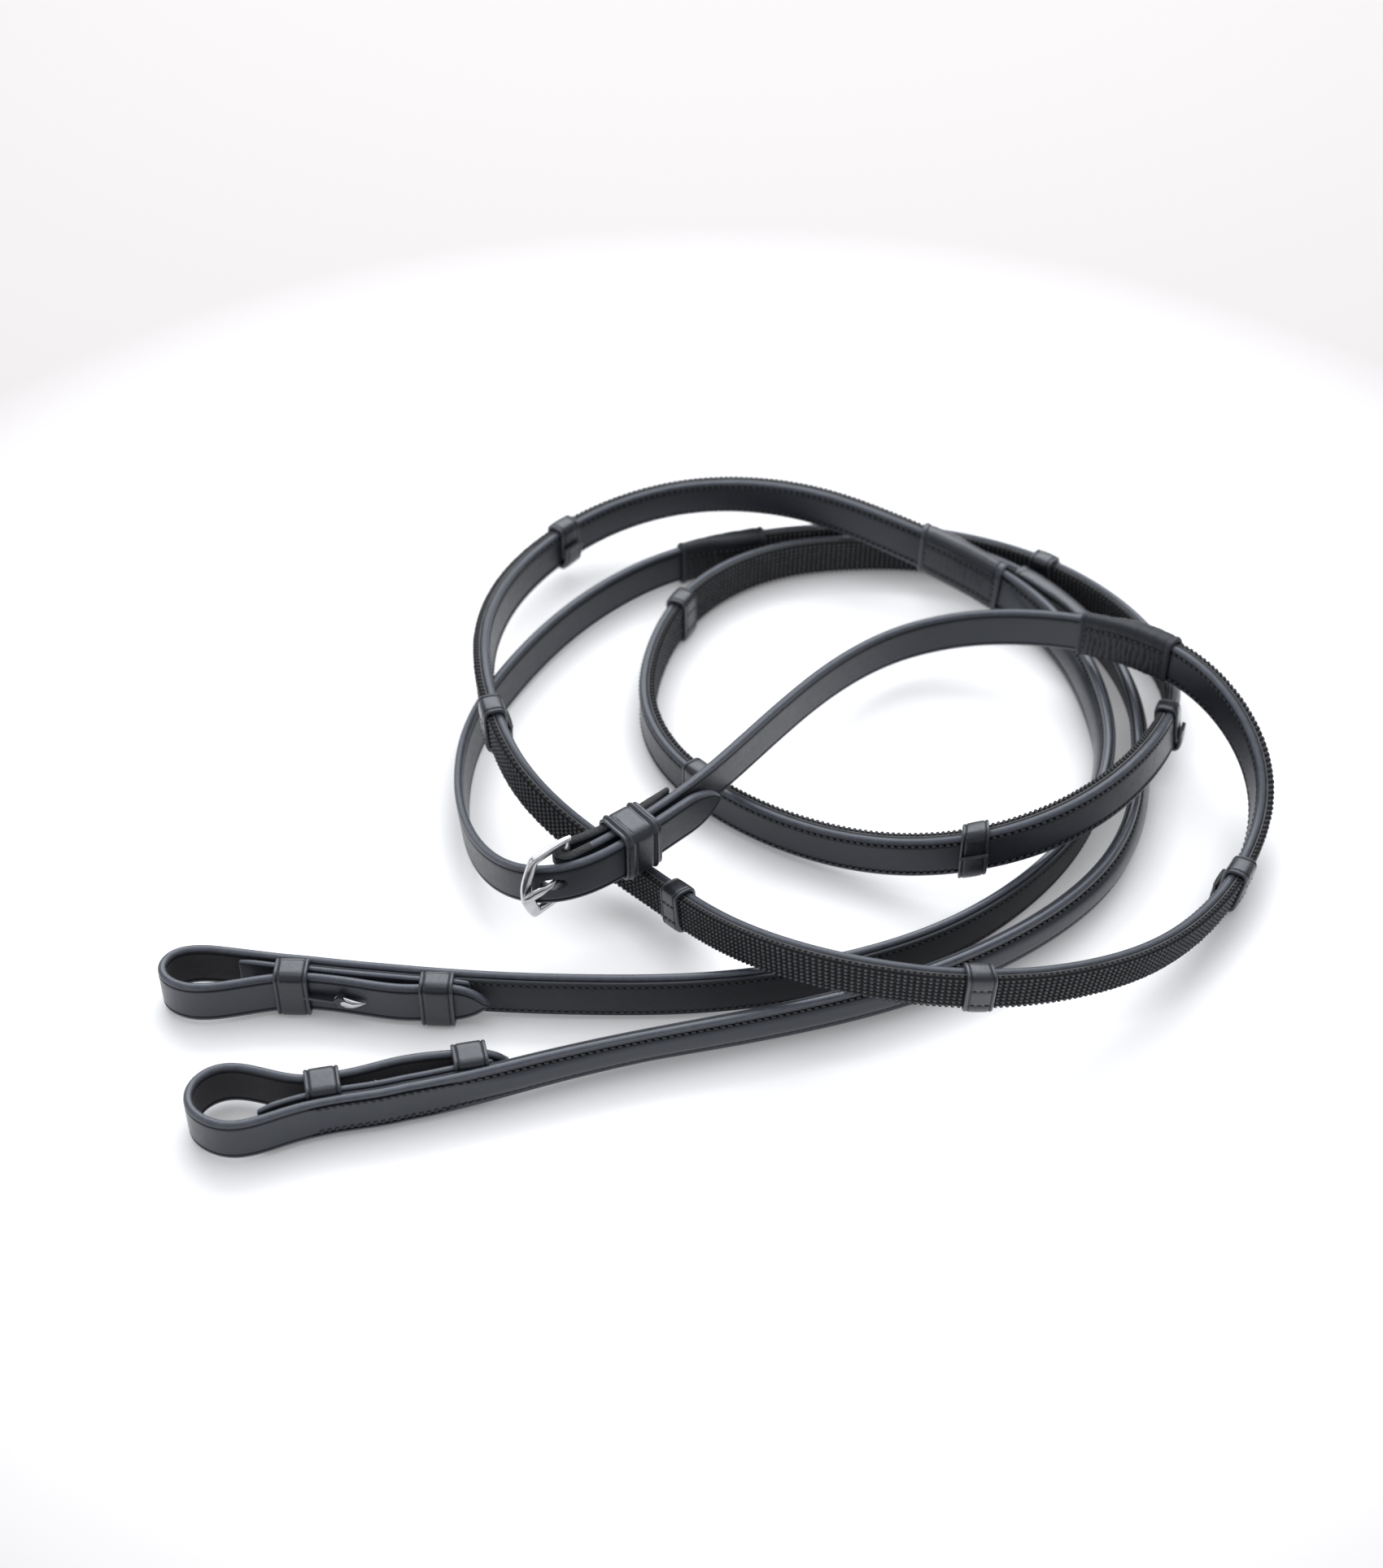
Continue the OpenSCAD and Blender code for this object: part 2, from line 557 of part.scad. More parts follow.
module buckle_tongue() color(buckle_colour) at_bar() {
    difference() {
        union() {
            cylinder(d = bar_d + 2.4, h = 4, center = true);
            rotate([0, droop, 0]) translate([0, 0, -1.4]) linear_extrude(2.8)
                polygon([[1.2, -1.1], [limb_x - 6, -1], [limb_x - 2.6, 1.42],
                         [limb_x + 1.6, 1.42], [limb_x + 2.6, 2.2], [limb_x + 1.2, 3.3],
                         [limb_x - 3, 3.2], [limb_x - 6.5, 1.1], [1.2, 1.1]]);
        }
        cylinder(d = bar_d + 0.1, h = 12, center = true);
    }
}
// window of the buckle keeper, grown by the given amounts
module keeper_block(length, grow_y = 0, grow_z = 0)
    translate([-length / 2, -8.4 - grow_y, -1.5 - grow_z])
        cube([length, 15.4 + 2 * grow_y, strap_w + 3.3 + 2 * grow_z]);
// wide keeper on the buckle strap, with two ridges; the point strap runs through it
module buckle_keeper() color(band_colour) on_rein(rein_a, 0.78) {
    difference() {
        union() {
            keeper_block(16, band_t, band_t);
            for (x = [-5, 5]) translate([x, 0, 0]) keeper_block(1.2, band_t + 0.4, band_t + 0.3);
        }
        keeper_block(18);
    }
}

// --- nodes ---------------------------------------------------------------
module hand_wrap_a() hand_wrap(A);
module grip_leather_a() grip_leather(A);
module grip_rubber_a() grip_rubber(A);
module stop_a1() stop(A, 1);
module stop_a2() stop(A, 2);
module stop_a3() stop(A, 3);
module stop_a4() stop(A, 4);
module stop_a5() stop(A, 5);
module bit_wrap_a() bit_wrap(A);
module bit_strap_a() bit_strap(A);
module bit_filler_a() bit_filler(A);
module bit_lining_a() bit_lining(A);
module safe_a() safe(A);
module flap_a() flap(A);
module keeper_a_inner() keeper(A, outer = false);
module keeper_a_outer() keeper(A, outer = true);
module hook_stud_a() hook_stud(A);
module hand_wrap_b() hand_wrap(B);
module grip_leather_b() grip_leather(B);
module grip_rubber_b() grip_rubber(B);
module stop_b1() stop(B, 1);
module stop_b2() stop(B, 2);
module stop_b3() stop(B, 3);
module stop_b4() stop(B, 4);
module stop_b5() stop(B, 5);
module bit_wrap_b() bit_wrap(B);
module bit_strap_b() bit_strap(B);
module bit_filler_b() bit_filler(B);
module bit_lining_b() bit_lining(B);
module safe_b() safe(B);
module flap_b() flap(B);
module keeper_b_inner() keeper(B, outer = false);
module keeper_b_outer() keeper(B, outer = true);
module hook_stud_b() hook_stud(B);

hand_strap_a();
hand_wrap_a();
grip_leather_a();
grip_rubber_a();
stop_a1();
stop_a2();
stop_a3();
stop_a4();
stop_a5();
bit_wrap_a();
bit_strap_a();
bit_filler_a();
bit_lining_a();
safe_a();
flap_a();
keeper_a_inner();
keeper_a_outer();
hook_stud_a();
hand_strap_b();
hand_wrap_b();
grip_leather_b();
grip_rubber_b();
stop_b1();
stop_b2();
stop_b3();
stop_b4();
stop_b5();
bit_wrap_b();
bit_strap_b();
bit_filler_b();
bit_lining_b();
safe_b();
flap_b();
keeper_b_inner();
keeper_b_outer();
hook_stud_b();
buckle_frame();
buckle_tongue();
buckle_keeper();
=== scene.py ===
"""A pair of leather bridle reins with rubber grips, looped over each other on a studio floor.

z is up, x runs to the camera's right, y away from it; lengths are millimetres until a mesh is made.
Both straps stand on their lower edge. Their hand ends buckle together near the front left and
their bit ends turn back on themselves, each closed by a hook stud, at the far left.
"""

import math
from types import SimpleNamespace

import bmesh
import bpy
import numpy as np
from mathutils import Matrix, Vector


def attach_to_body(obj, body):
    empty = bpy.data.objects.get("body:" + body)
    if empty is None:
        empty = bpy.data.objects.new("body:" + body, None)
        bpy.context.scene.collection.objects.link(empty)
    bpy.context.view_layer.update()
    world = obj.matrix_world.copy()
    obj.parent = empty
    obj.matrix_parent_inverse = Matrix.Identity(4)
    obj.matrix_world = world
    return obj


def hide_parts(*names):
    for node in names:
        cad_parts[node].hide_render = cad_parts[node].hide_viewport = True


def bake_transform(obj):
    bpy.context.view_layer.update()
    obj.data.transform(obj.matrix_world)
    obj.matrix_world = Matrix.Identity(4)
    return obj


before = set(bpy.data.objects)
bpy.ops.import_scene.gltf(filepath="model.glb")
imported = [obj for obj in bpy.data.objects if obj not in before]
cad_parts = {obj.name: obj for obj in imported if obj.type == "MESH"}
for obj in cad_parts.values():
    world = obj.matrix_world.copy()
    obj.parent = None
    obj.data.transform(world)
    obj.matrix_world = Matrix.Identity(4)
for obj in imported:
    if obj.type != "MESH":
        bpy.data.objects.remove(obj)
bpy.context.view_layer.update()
MM = 0.001
rng = np.random.default_rng(7)

# ---------------------------------------------------------------- main sizes
W = 16.0             # height of every strap as it stands
HAND_T = 3.2         # strap thicknesses
GRIP_T = 3.0
BIT_T = 2.8
DOME = 1.7           # rise of the raised leather
LINING_T = 1.3
SAFE_T = 1.6
CLEARANCE = 0.15
RUBBER_IN = 1.9      # rubber, measured from the middle of the strap
RUBBER_OUT = 4.3
BAR_D = 3.0          # buckle bar
FRAME_T = 2.6        # buckle frame
FRAME_H = 26.0
DROOP = math.radians(15)  # the buckle frame sinks away from its bar
ROUNDING = 0.55      # round-over at the cut end of a strap
LAST_STATION = 51.0  # last spline station of a rein
LOOP_TIP = 20.0      # loop station at the tip of the flap

# Spline control points of the reins: x, y, height of the lower edge, lean in degrees
REIN_A = [
    (-83.5, -72.3, 14.5, 0), (-53.5, -64.3, 22.5, 0), (-29.5, -48.3, 26, 0), (-9.5, -23.3, 23.5, 0),
    (6.5, 3.7, 19, -2), (22.5, 30.7, 14, -2), (39.5, 55.7, 9.5, -2), (62.5, 77.7, 6.5, -1),
    (91.5, 83.7, 9.5, -1), (118.5, 72.7, 17.5, 0), (143.5, 54.7, 26, 0), (167.5, 33.7, 27, -1),
    (182.5, 7.7, 18.5, -2), (185.5, -15.3, 8, -4), (177.5, -37.3, 1.5, -8), (161.5, -65.3, 4, -11),
    (140.5, -89.3, 9, -13), (116.5, -105.3, 15, -12), (88.5, -114.3, 19, -9),
    (58.5, -117.3, 23.5, -8), (27.5, -114.3, 28, -8), (4.5, -97.3, 21.5, -6),
    (-11.5, -74.3, 10, -5), (-31.5, -45.3, 1.5, -4), (-54.5, -33.3, 11, -3),
    (-74.5, -18.3, 23.5, -2), (-85.5, 15.7, 24.5, -2), (-89.5, 39.7, 24, -4),
    (-90.5, 66.7, 19.5, -6), (-85.5, 101.7, 11.5, -5), (-71.5, 132.7, 7, -2), (-48.5, 151.7, 10, 4),
    (-19.5, 157.7, 16, 8), (9.5, 153.7, 20, 7), (37.5, 144.7, 21, 1), (63.5, 130.7, 18.5, -6),
    (90.5, 120.7, 11.5, -11), (115.5, 107.7, 3.5, -14), (130.5, 81.7, 1.5, -13),
    (136.5, 51.7, 1.5, -12), (137.5, 21.7, 1.5, -9), (129.5, -8.3, 1.5, -6),
    (114.5, -34.3, 1.5, -3), (93.5, -57.3, 1.5, -1), (69.5, -75.3, 1.5, 1), (42.5, -87.3, 1.5, 2),
    (13.5, -95.3, 1.5, 1), (-16.5, -99.3, 1.5, 1), (-46.5, -99.3, 1.5, 1), (-76.5, -98.3, 1.5, 1),
    (-106.5, -95.3, 1.5, 2), (-136.5, -91.3, 1.5, 2), (-166.5, -87.3, 1.5, 3),
    (-196.5, -82.3, 1.5, 3),
]
REIN_B = [
    (13.5, -4.3, 13.5, 0), (-7.5, -26.3, 21, 0), (-27.5, -53.3, 26.4, 0), (-51.5, -70.3, 21.9, 0),
    (-77, -62.3, 13.9, 0), (-93.5, -29.8, 3, -4), (-98.5, 2.7, 1.5, -7), (-95.5, 31.7, 2, -7),
    (-84.5, 59.7, 1.5, -7), (-69.5, 86.7, 1.5, -5), (-51.5, 109.7, 1.5, -2), (-28.5, 129.7, 1.5, 1),
    (-1.5, 141.7, 1.5, 3), (28.5, 148.7, 1.5, 5), (58.5, 150.7, 1.5, 5), (88.5, 145.7, 1.5, 5),
    (115.9, 134.3, 1.5, 5), (139.9, 115.1, 1.5, 6), (157.5, 89.7, 1.5, 6), (165.5, 64.7, 1.5, 6),
    (162.5, 36.7, 6, 7), (149.5, -0.3, 22, 8), (132.5, -24.3, 23, 8), (107.5, -45.3, 23.5, 6),
    (79.5, -47.3, 14, 3), (51.5, -39.3, 4.5, 1), (23.5, -28.3, 2, -1), (-2.5, -11.3, 1.5, -2),
    (-23.5, 11.7, 1.5, -1), (-33.5, 39.7, 1.5, 0), (-31.5, 69.7, 1.5, -1), (-22.5, 99.7, 1.5, -1),
    (-4.5, 123.7, 1.5, 1), (21.5, 138.7, 1.5, 5), (52.5, 141.7, 1.5, 9), (83.9, 139.7, 1.5, 12),
    (111, 125.6, 1.5, 14), (131.3, 99.9, 1.5, 16), (144.4, 72.1, 1.5, 16), (148.5, 40.7, 1.5, 15),
    (145.5, 10.7, 1.5, 12), (140.5, -19.3, 1.5, 8), (127.5, -46.3, 1.5, 3), (106.5, -68.3, 1.5, -1),
    (82.5, -85.3, 1.5, -3), (55.5, -99.3, 1.5, -5), (26.5, -109.3, 1.5, -6),
    (-2.5, -117.3, 1.5, -8), (-31.5, -124.3, 1.5, -10), (-59.5, -132.3, 1.5, -11),
    (-88.5, -142.3, 1.5, -10), (-117.5, -149.3, 1.5, -7), (-146.5, -156.3, 1.5, -4),
    (-175.5, -163.3, 1.5, -1),
]
# Spline control points of the loops at the bit ends: x, y
LOOP_A = [
    (-112, -95.3), (-121, -93.3), (-130, -92.3), (-139, -90.8), (-148.5, -89.8), (-157, -88.3),
    (-166.5, -86.8), (-175, -85.3), (-185.5, -86.8), (-188.5, -96.8), (-179.5, -103.3),
    (-170.5, -103.3), (-161.5, -101.3), (-153, -99.3), (-143.5, -97.8), (-134.5, -98.8),
    (-125.5, -100.3), (-116.5, -102.3), (-107.5, -103.8), (-98, -103.3), (-89, -103.3),
    (-80, -103.8), (-71, -106.3),
]
LOOP_B = [
    (-94.5, -142.3), (-103, -145.8), (-112, -148.3), (-121, -149.8), (-129.5, -151.8),
    (-138.5, -154.8), (-146.5, -158.8), (-155.5, -161.8), (-164.5, -158.8), (-171, -151.8),
    (-169.5, -141.8), (-161.5, -136.3), (-152, -137.8), (-143.5, -140.8), (-134.5, -142.8),
    (-125.5, -140.8), (-116.5, -138.3), (-108, -134.8), (-99, -132.8), (-90, -131.8),
    (-81, -130.8), (-72, -128.8), (-63.5, -125.8),
]


# ---------------------------------------------------------------- curves
def clamp(x):
    return np.clip(x, 0, 1)


def smoothstep(x):
    x = clamp(x)
    return x * x * (3 - 2 * x)


def bell(x, width):
    return np.exp(-((x / width) ** 2))


def unit(vector):
    return vector / np.linalg.norm(vector)


def unit_rows(vectors):
    return vectors / np.maximum(np.linalg.norm(vectors, axis=1), 1e-9)[:, None]


def arc_lengths(points):
    """Running length at each point of a polyline."""
    return np.r_[0, np.cumsum(np.linalg.norm(np.diff(points, axis=0), axis=1))]


def lookup(x, known, table):
    """Interpolate every column of a table."""
    return np.stack([np.interp(x, known, column) for column in np.asarray(table).T], 1)


def superellipse(angles, power):
    c, s = np.cos(angles), np.sin(angles)
    return np.sign(c) * np.abs(c) ** (2 / power), np.sign(s) * np.abs(s) ** (2 / power)


def spline(controls, u):
    """Uniform cubic B-spline; u counts control points."""
    P = np.asarray(controls, float)
    u = np.atleast_1d(np.asarray(u, float))
    k = np.clip(np.floor(u), 0, len(P) - 4).astype(int)
    t = (u - k)[:, None]
    return ((1 - t) ** 3 * P[k] + (3 * t**3 - 6 * t**2 + 4) * P[k + 1]
            + (-3 * t**3 + 3 * t**2 + 3 * t + 1) * P[k + 2] + t**3 * P[k + 3]) / 6


def spline_run(controls, start, end):
    return spline(controls, np.linspace(start, end, max(3, int((end - start) * 60))))


def heading(controls, u, ahead=0.1):
    """Level unit direction of a spline."""
    return unit((spline(controls, u + ahead)[0] - spline(controls, u)[0])[:2])


def turn_left(direction):
    return np.array([-direction[1], direction[0]])


def smooth(values, sigma):
    """Gaussian smoothing that keeps both ends where they are."""
    reach = int(3 * sigma) + 1
    kernel = np.exp(-0.5 * (np.arange(-reach, reach + 1) / sigma) ** 2)
    kernel /= kernel.sum()
    before = 2 * values[0] - values[reach:0:-1]
    after = 2 * values[-1] - values[-2:-reach - 2:-1]
    return np.convolve(np.concatenate([before, values, after]), kernel, "valid")


class Path:
    """The line of a strap at even steps of length s: x, y, height of the lower edge, lean.

    Across the strap, w is measured to the left of travel where side is 1 and to the right where
    it is -1, so one section serves both reins. The rubber and lining are on the + face.
    """

    def __init__(self, points, step, blur=0.0, side=1):
        points = np.asarray(points, float)
        run = arc_lengths(points[:, :3])
        keep = np.r_[True, np.diff(run) > 1e-6]
        points, run = points[keep], run[keep]
        self.side = side
        self.length = run[-1]
        self.s = np.linspace(0, self.length, max(3, int(round(self.length / step)) + 1))
        self.line = lookup(self.s, run, points)
        if blur:
            self.line = np.stack([smooth(column, blur) for column in self.line.T], 1)

    def at(self, s):
        """Line values, level direction, level normal to the left, true direction."""
        s = np.atleast_1d(np.asarray(s, float))
        values = lookup(s, self.s, self.line)
        xyz = self.line[:, :3]
        chord = lookup(s + 0.8, self.s, xyz) - lookup(s - 0.8, self.s, xyz)
        level, true = unit_rows(chord[:, :2]), unit_rows(chord)
        # past either end the line goes on straight
        beyond = np.clip(s - self.length, 0, None) + np.clip(s, None, 0)
        values[:, :3] += true * beyond[:, None]
        return values, level, np.stack([-level[:, 1], level[:, 0]], 1), true

    def frame(self, s):
        """The same at a single s, with all directions in 3D."""
        values, level, normal, true = self.at([s])
        return values[0], np.r_[level[0], 0.0], np.r_[normal[0], 0.0], true[0]

    def points(self, s, w, h):
        """Points at length s, w across, h above the lower edge; the arrays broadcast."""
        s, w, h = np.broadcast_arrays(np.asarray(s, float), w, h)
        values, _, normal, _ = self.at(s.ravel())
        off = w.ravel() * self.side + (W - h.ravel()) * np.tan(np.radians(values[:, 3]))
        p = np.stack([values[:, 0] + normal[:, 0] * off, values[:, 1] + normal[:, 1] * off,
                      values[:, 2] + h.ravel()], 1)
        return p.reshape(s.shape + (3,))

    def middle(self, s, h=W / 2):
        return self.points([s], [0.0], [h])[0]

    def distances(self, point):
        return np.hypot(self.line[:, 0] - point[0], self.line[:, 1] - point[1])


def straight(centre, direction, reach, height, side=1):
    """Level straight path, reach long either side of its centre."""
    ends = [(centre[0] + direction[0] * r, centre[1] + direction[1] * r, height, 0)
            for r in (-reach, reach)]
    return Path(ends, 1.0, side=side)


# ---------------------------------------------------------------- meshes
def link_object(name, mesh):
    obj = bpy.data.objects.new(name, mesh)
    bpy.context.scene.collection.objects.link(obj)
    return obj


def consistent_mesh(name, points, faces, attributes):
    """Mesh in metres with its normals made consistent."""
    mesh = bpy.data.meshes.new(name)
    mesh.from_pydata((np.asarray(points, float) * MM).tolist(), [], faces)
    mesh.update()
    for key, values in attributes.items():
        layer = mesh.attributes.new(key, "FLOAT", "POINT")
        layer.data.foreach_set("value", np.asarray(values, np.float32))
    bm = bmesh.new()
    bm.from_mesh(mesh)
    bmesh.ops.recalc_face_normals(bm, faces=bm.faces)
    bm.to_mesh(mesh)
    bm.free()
    return mesh


def make_object(name, points, faces, material, attributes={}, flat=()):
    """Smooth object; the faces listed in flat stay flat with sharp borders."""
    mesh = consistent_mesh(name, points, faces, attributes)
    rounded = np.ones(len(mesh.polygons), bool)
    rounded[list(flat)] = False
    mesh.polygons.foreach_set("use_smooth", rounded)
    if flat:
        sharp = np.zeros(len(mesh.edges), bool)
        for i in flat:
            for loop in mesh.polygons[i].loop_indices:
                sharp[mesh.loops[loop].edge_index] = True
        layer = (mesh.attributes.get("sharp_edge")
                 or mesh.attributes.new("sharp_edge", "BOOLEAN", "EDGE"))
        layer.data.foreach_set("value", sharp)
    mesh.materials.append(material)
    return link_object(name, mesh)


def sweep(name, grid, material, edge=None, rise=None, closed=False):
    """Skin over a grid of stations x closed ring x 3; capped unless the stations close.

    The attribute edge is 1 on rounded edges, where the leather paints wear and a highlight, and on
    pimple tops, where the rubber paints a highlight; it is negative in grooves, where the leather
    paints shade. rise is 1 at the lower edge, where the leather paints a paler floor reflection.
    """
    m, k = grid.shape[:2]
    i = np.arange(m if closed else m - 1)[:, None]
    j = np.arange(k)[None, :]
    i2, j2 = (i + 1) % m, (j + 1) % k
    quads = np.stack([i * k + j, i * k + j2, i2 * k + j2, i2 * k + j], -1)
    faces = quads.reshape(-1, 4).tolist()
    flat = ()
    if not closed:
        flat = (len(faces), len(faces) + 1)
        faces += [list(range(k))[::-1], list(range((m - 1) * k, m * k))]
    attributes = {key: np.broadcast_to(values, (m, k)).ravel()
                  for key, values in (("edge", edge), ("rise", rise)) if values is not None}
    return make_object(name, grid.reshape(-1, 3), faces, material, attributes, flat)


def repaint(obj, material, faces):
    obj.data.materials.append(material)
    for i in faces:
        obj.data.polygons[i].material_index = 1


def attach(obj, piece=None, body="reins"):
    """Tell the frame which body the object rides, which CAD piece it replaces."""
    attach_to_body(obj, body)
    if piece:
        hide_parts(piece)


def cut_prism(obj, name, outline, centre, X, Y, Z, reach):
    """Cut an outline (x, y) in the plane X, Y through the object, reach to each side along Z."""
    centre, X, Y, Z = (np.array(v) for v in (centre, X, Y, Z))
    k = len(outline)
    points = [centre + X * x + Y * y + Z * z for z in (-reach, reach) for x, y in outline]
    faces = [list(range(k))[::-1], list(range(k, 2 * k))]
    faces += [[i, (i + 1) % k, k + (i + 1) % k, k + i] for i in range(k)]
    cutter = link_object(name, consistent_mesh(name, points, faces, {}))
    modifier = obj.modifiers.new("cut", "BOOLEAN")
    modifier.operation = "DIFFERENCE"
    modifier.solver = "EXACT"
    modifier.object = cutter
    bpy.context.view_layer.update()
    graph = bpy.context.evaluated_depsgraph_get()
    mesh = bpy.data.meshes.new_from_object(
        obj.evaluated_get(graph), preserve_all_data_layers=True, depsgraph=graph)
    obj.modifiers.clear()
    uncut = obj.data
    obj.data = mesh
    bpy.data.meshes.remove(uncut)
    bpy.data.objects.remove(cutter, do_unlink=True)


def face_points(half, corner, count, grooves):
    """(height from the middle, outward offset, edge value) going up one face of a section.

    Each groove is (inset from both edges, depth, half width).
    """
    flat = [(x, 0.0, 0.0) for x in np.linspace(-1, 1, count) * (half - corner)]
    cut, centres = [], []
    for inset, depth, reach in grooves:
        # groove edge values are negative; the leather paints them dark as shade
        dark = -min(1.0, depth / 0.3)
        for sign in (-1, 1):
            c = sign * max(half - inset, 0.3 * half)
            centres.append(c)
            cut += [(c - reach, 0, 0.2 * dark), (c - reach * 0.45, -depth * 0.8, dark),
                    (c, -depth, dark), (c + reach * 0.45, -depth * 0.8, dark),
                    (c + reach, 0, 0.2 * dark)]
    if not grooves:
        return flat

    def groove_distance(p):
        if abs(abs(p[0]) - (half - corner)) <= 1e-6:
            return 99
        return min(abs(p[0] - c) for c in centres)

    # the flat points nearest a groove give way to it, so that the count stays fixed
    flat.sort(key=groove_distance)
    return sorted(flat[2 * len(grooves):] + cut, key=lambda p: p[0])


def section(w_range, h_range, corner, face_count, arc_count, minus=(), plus=(), dome=None):
    """Closed ring (w, h) of a strap with rounded top and bottom, and its edge values.

    minus and plus are the grooves of the two faces; dome(height, -1 to 1) swells the - face.
    """
    (w0, w1), (h0, h1) = w_range, h_range
    mid_h, half, mid_w, half_w = (h0 + h1) / 2, (h1 - h0) / 2, (w0 + w1) / 2, (w1 - w0) / 2
    corner = min(corner, half * 0.8)

    def swell(x):
        return dome(x / max(half, 1e-6)) if dome else 0.0

    going_up = [(w0 - out - swell(x), mid_h + x, e)
                for x, out, e in face_points(half, corner, face_count, minus)]
    going_down = [(w1 + out, mid_h + x, e)
                  for x, out, e in face_points(half, corner, face_count, plus)][::-1]
    arc = list(zip(*superellipse(np.linspace(math.pi, 0, arc_count + 2)[1:-1], 2.3)))
    # edge value 1 on the rounded top and bottom, which the leather paints paler: wear and a painted
    # highlight
    top = [(mid_w + half_w * x, mid_h + half - corner + corner * z, 1.0) for x, z in arc]
    bottom = [(mid_w + half_w * x, mid_h - half + corner - corner * z, 1.0) for x, z in arc[::-1]]
    ring = np.array(going_up + top + going_down + bottom)
    return ring[:, :2], ring[:, 2]


def centred(size, middle=0.0):
    return middle - size / 2, middle + size / 2


def shrink(ring, amount):
    low, high = ring.min(0), ring.max(0)
    centre, extent = (high + low) / 2, (high - low) / 2
    factor = np.maximum(1 - amount / np.maximum(extent, 1e-6), 0.15)
    return centre + (ring - centre) * factor


def strap(name, path, start, end, section_at, material, step=1.5, round_start=True,
          round_end=True, extra=None, patch=None):
    """Sweep section_at(s) along a path.

    extra adds stations. patch is (second material, choose(s, heights) giving a grid of faces).
    """
    stations = np.linspace(start, end, max(3, int(round((end - start) / step)) + 1))
    if extra is not None:
        stations = np.unique(np.round(np.r_[stations, extra], 4))
    head, tail = [], []
    r = ROUNDING
    if round_start:
        head = [(start, r), (start + r * 0.25, r * 0.4), (start + r, 0.0)]
        stations = [s for s in stations if s > start + r * 1.3]
    if round_end:
        tail = [(end - r, 0.0), (end - r * 0.25, r * 0.4), (end, r)]
        stations = [s for s in stations if s < end - r * 1.3]
    sequence = head + [(s, 0.0) for s in stations] + tail
    rings, edges = [], []
    for s, amount in sequence:
        ring, edge = section_at(s)
        rings.append(shrink(ring, amount) if amount > 0 else ring)
        edges.append(edge)
    rings = np.array(rings)
    s = np.array([entry[0] for entry in sequence])[:, None]
    h = rings[..., 1]
    obj = sweep(name, path.points(s, rings[..., 0], h), material, np.array(edges), clamp(1 - h / W))
    if patch:
        second, choose = patch
        repaint(obj, second, np.flatnonzero(choose(s, h)[:-1]).tolist())
    return obj


# ---------------------------------------------------------------- materials
class Shader:
    """A principled material; its helpers make nodes and return their output sockets."""

    def __init__(self, name):
        self.material = bpy.data.materials.new(name)
        self.material.use_nodes = True
        self.tree = self.material.node_tree
        self.tree.nodes.clear()
        output = self.node("OutputMaterial")
        self.surface = self.node("BsdfPrincipled")
        self.tree.links.new(self.surface.outputs[0], output.inputs[0])
        self.place = self.node("TexCoord").outputs["Object"]

    def node(self, kind, **properties):
        node = self.tree.nodes.new("ShaderNode" + kind)
        for key, value in properties.items():
            setattr(node, key, value)
        return node

    def feed(self, socket, value):
        """Set a socket from a number, an RGB or XYZ tuple, or another socket."""
        if isinstance(value, (int, float)):
            socket.default_value = value
        elif isinstance(value, tuple):
            socket.default_value = (*value, 1) if socket.type == "RGBA" else value
        else:
            self.tree.links.new(value, socket)

    def fill(self, node, values):
        for key, value in values.items():
            self.feed(node.inputs[key], value)
        return node

    def set(self, name, value):
        self.feed(self.surface.inputs[name], value)

    def noise(self, scale, detail=4, rough=0.55, place=None):
        values = {"Scale": scale, "Detail": detail, "Roughness": rough,
                  "Vector": place or self.place}
        return self.fill(self.node("TexNoise"), values).outputs["Fac"]

    def voronoi(self, scale, feature="F1"):
        node = self.node("TexVoronoi", feature=feature)
        return self.fill(node, {"Scale": scale, "Vector": self.place}).outputs["Distance"]

    def wave(self, scale, distortion, **properties):
        values = {"Scale": scale, "Distortion": distortion, "Vector": self.place}
        return self.fill(self.node("TexWave", **properties), values).outputs["Fac"]

    def attribute(self, name):
        return self.node("Attribute", attribute_name=name).outputs["Fac"]

    def ramp(self, source, span=(0.0, 1.0), to=(0.0, 1.0)):
        values = dict(enumerate((source, *span, *to)))
        return self.fill(self.node("MapRange"), values).outputs[0]

    def times(self, a, b):
        return self.fill(self.node("Math", operation="MULTIPLY"), {0: a, 1: b}).outputs[0]

    def plus(self, a, b):
        return self.fill(self.node("Math", operation="ADD"), {0: a, 1: b}).outputs[0]

    def mix(self, factor, a, b):
        node = self.node("Mix", data_type="RGBA")
        return self.fill(node, {0: factor, 6: a, 7: b}).outputs[2]

    def bump(self, height, distance, strength, under=None):
        values = {"Strength": strength, "Distance": distance, "Height": height}
        if under is not None:
            values["Normal"] = under
        return self.fill(self.node("Bump"), values).outputs[0]


def scaled(colour, factor):
    return tuple(x * factor for x in colour)


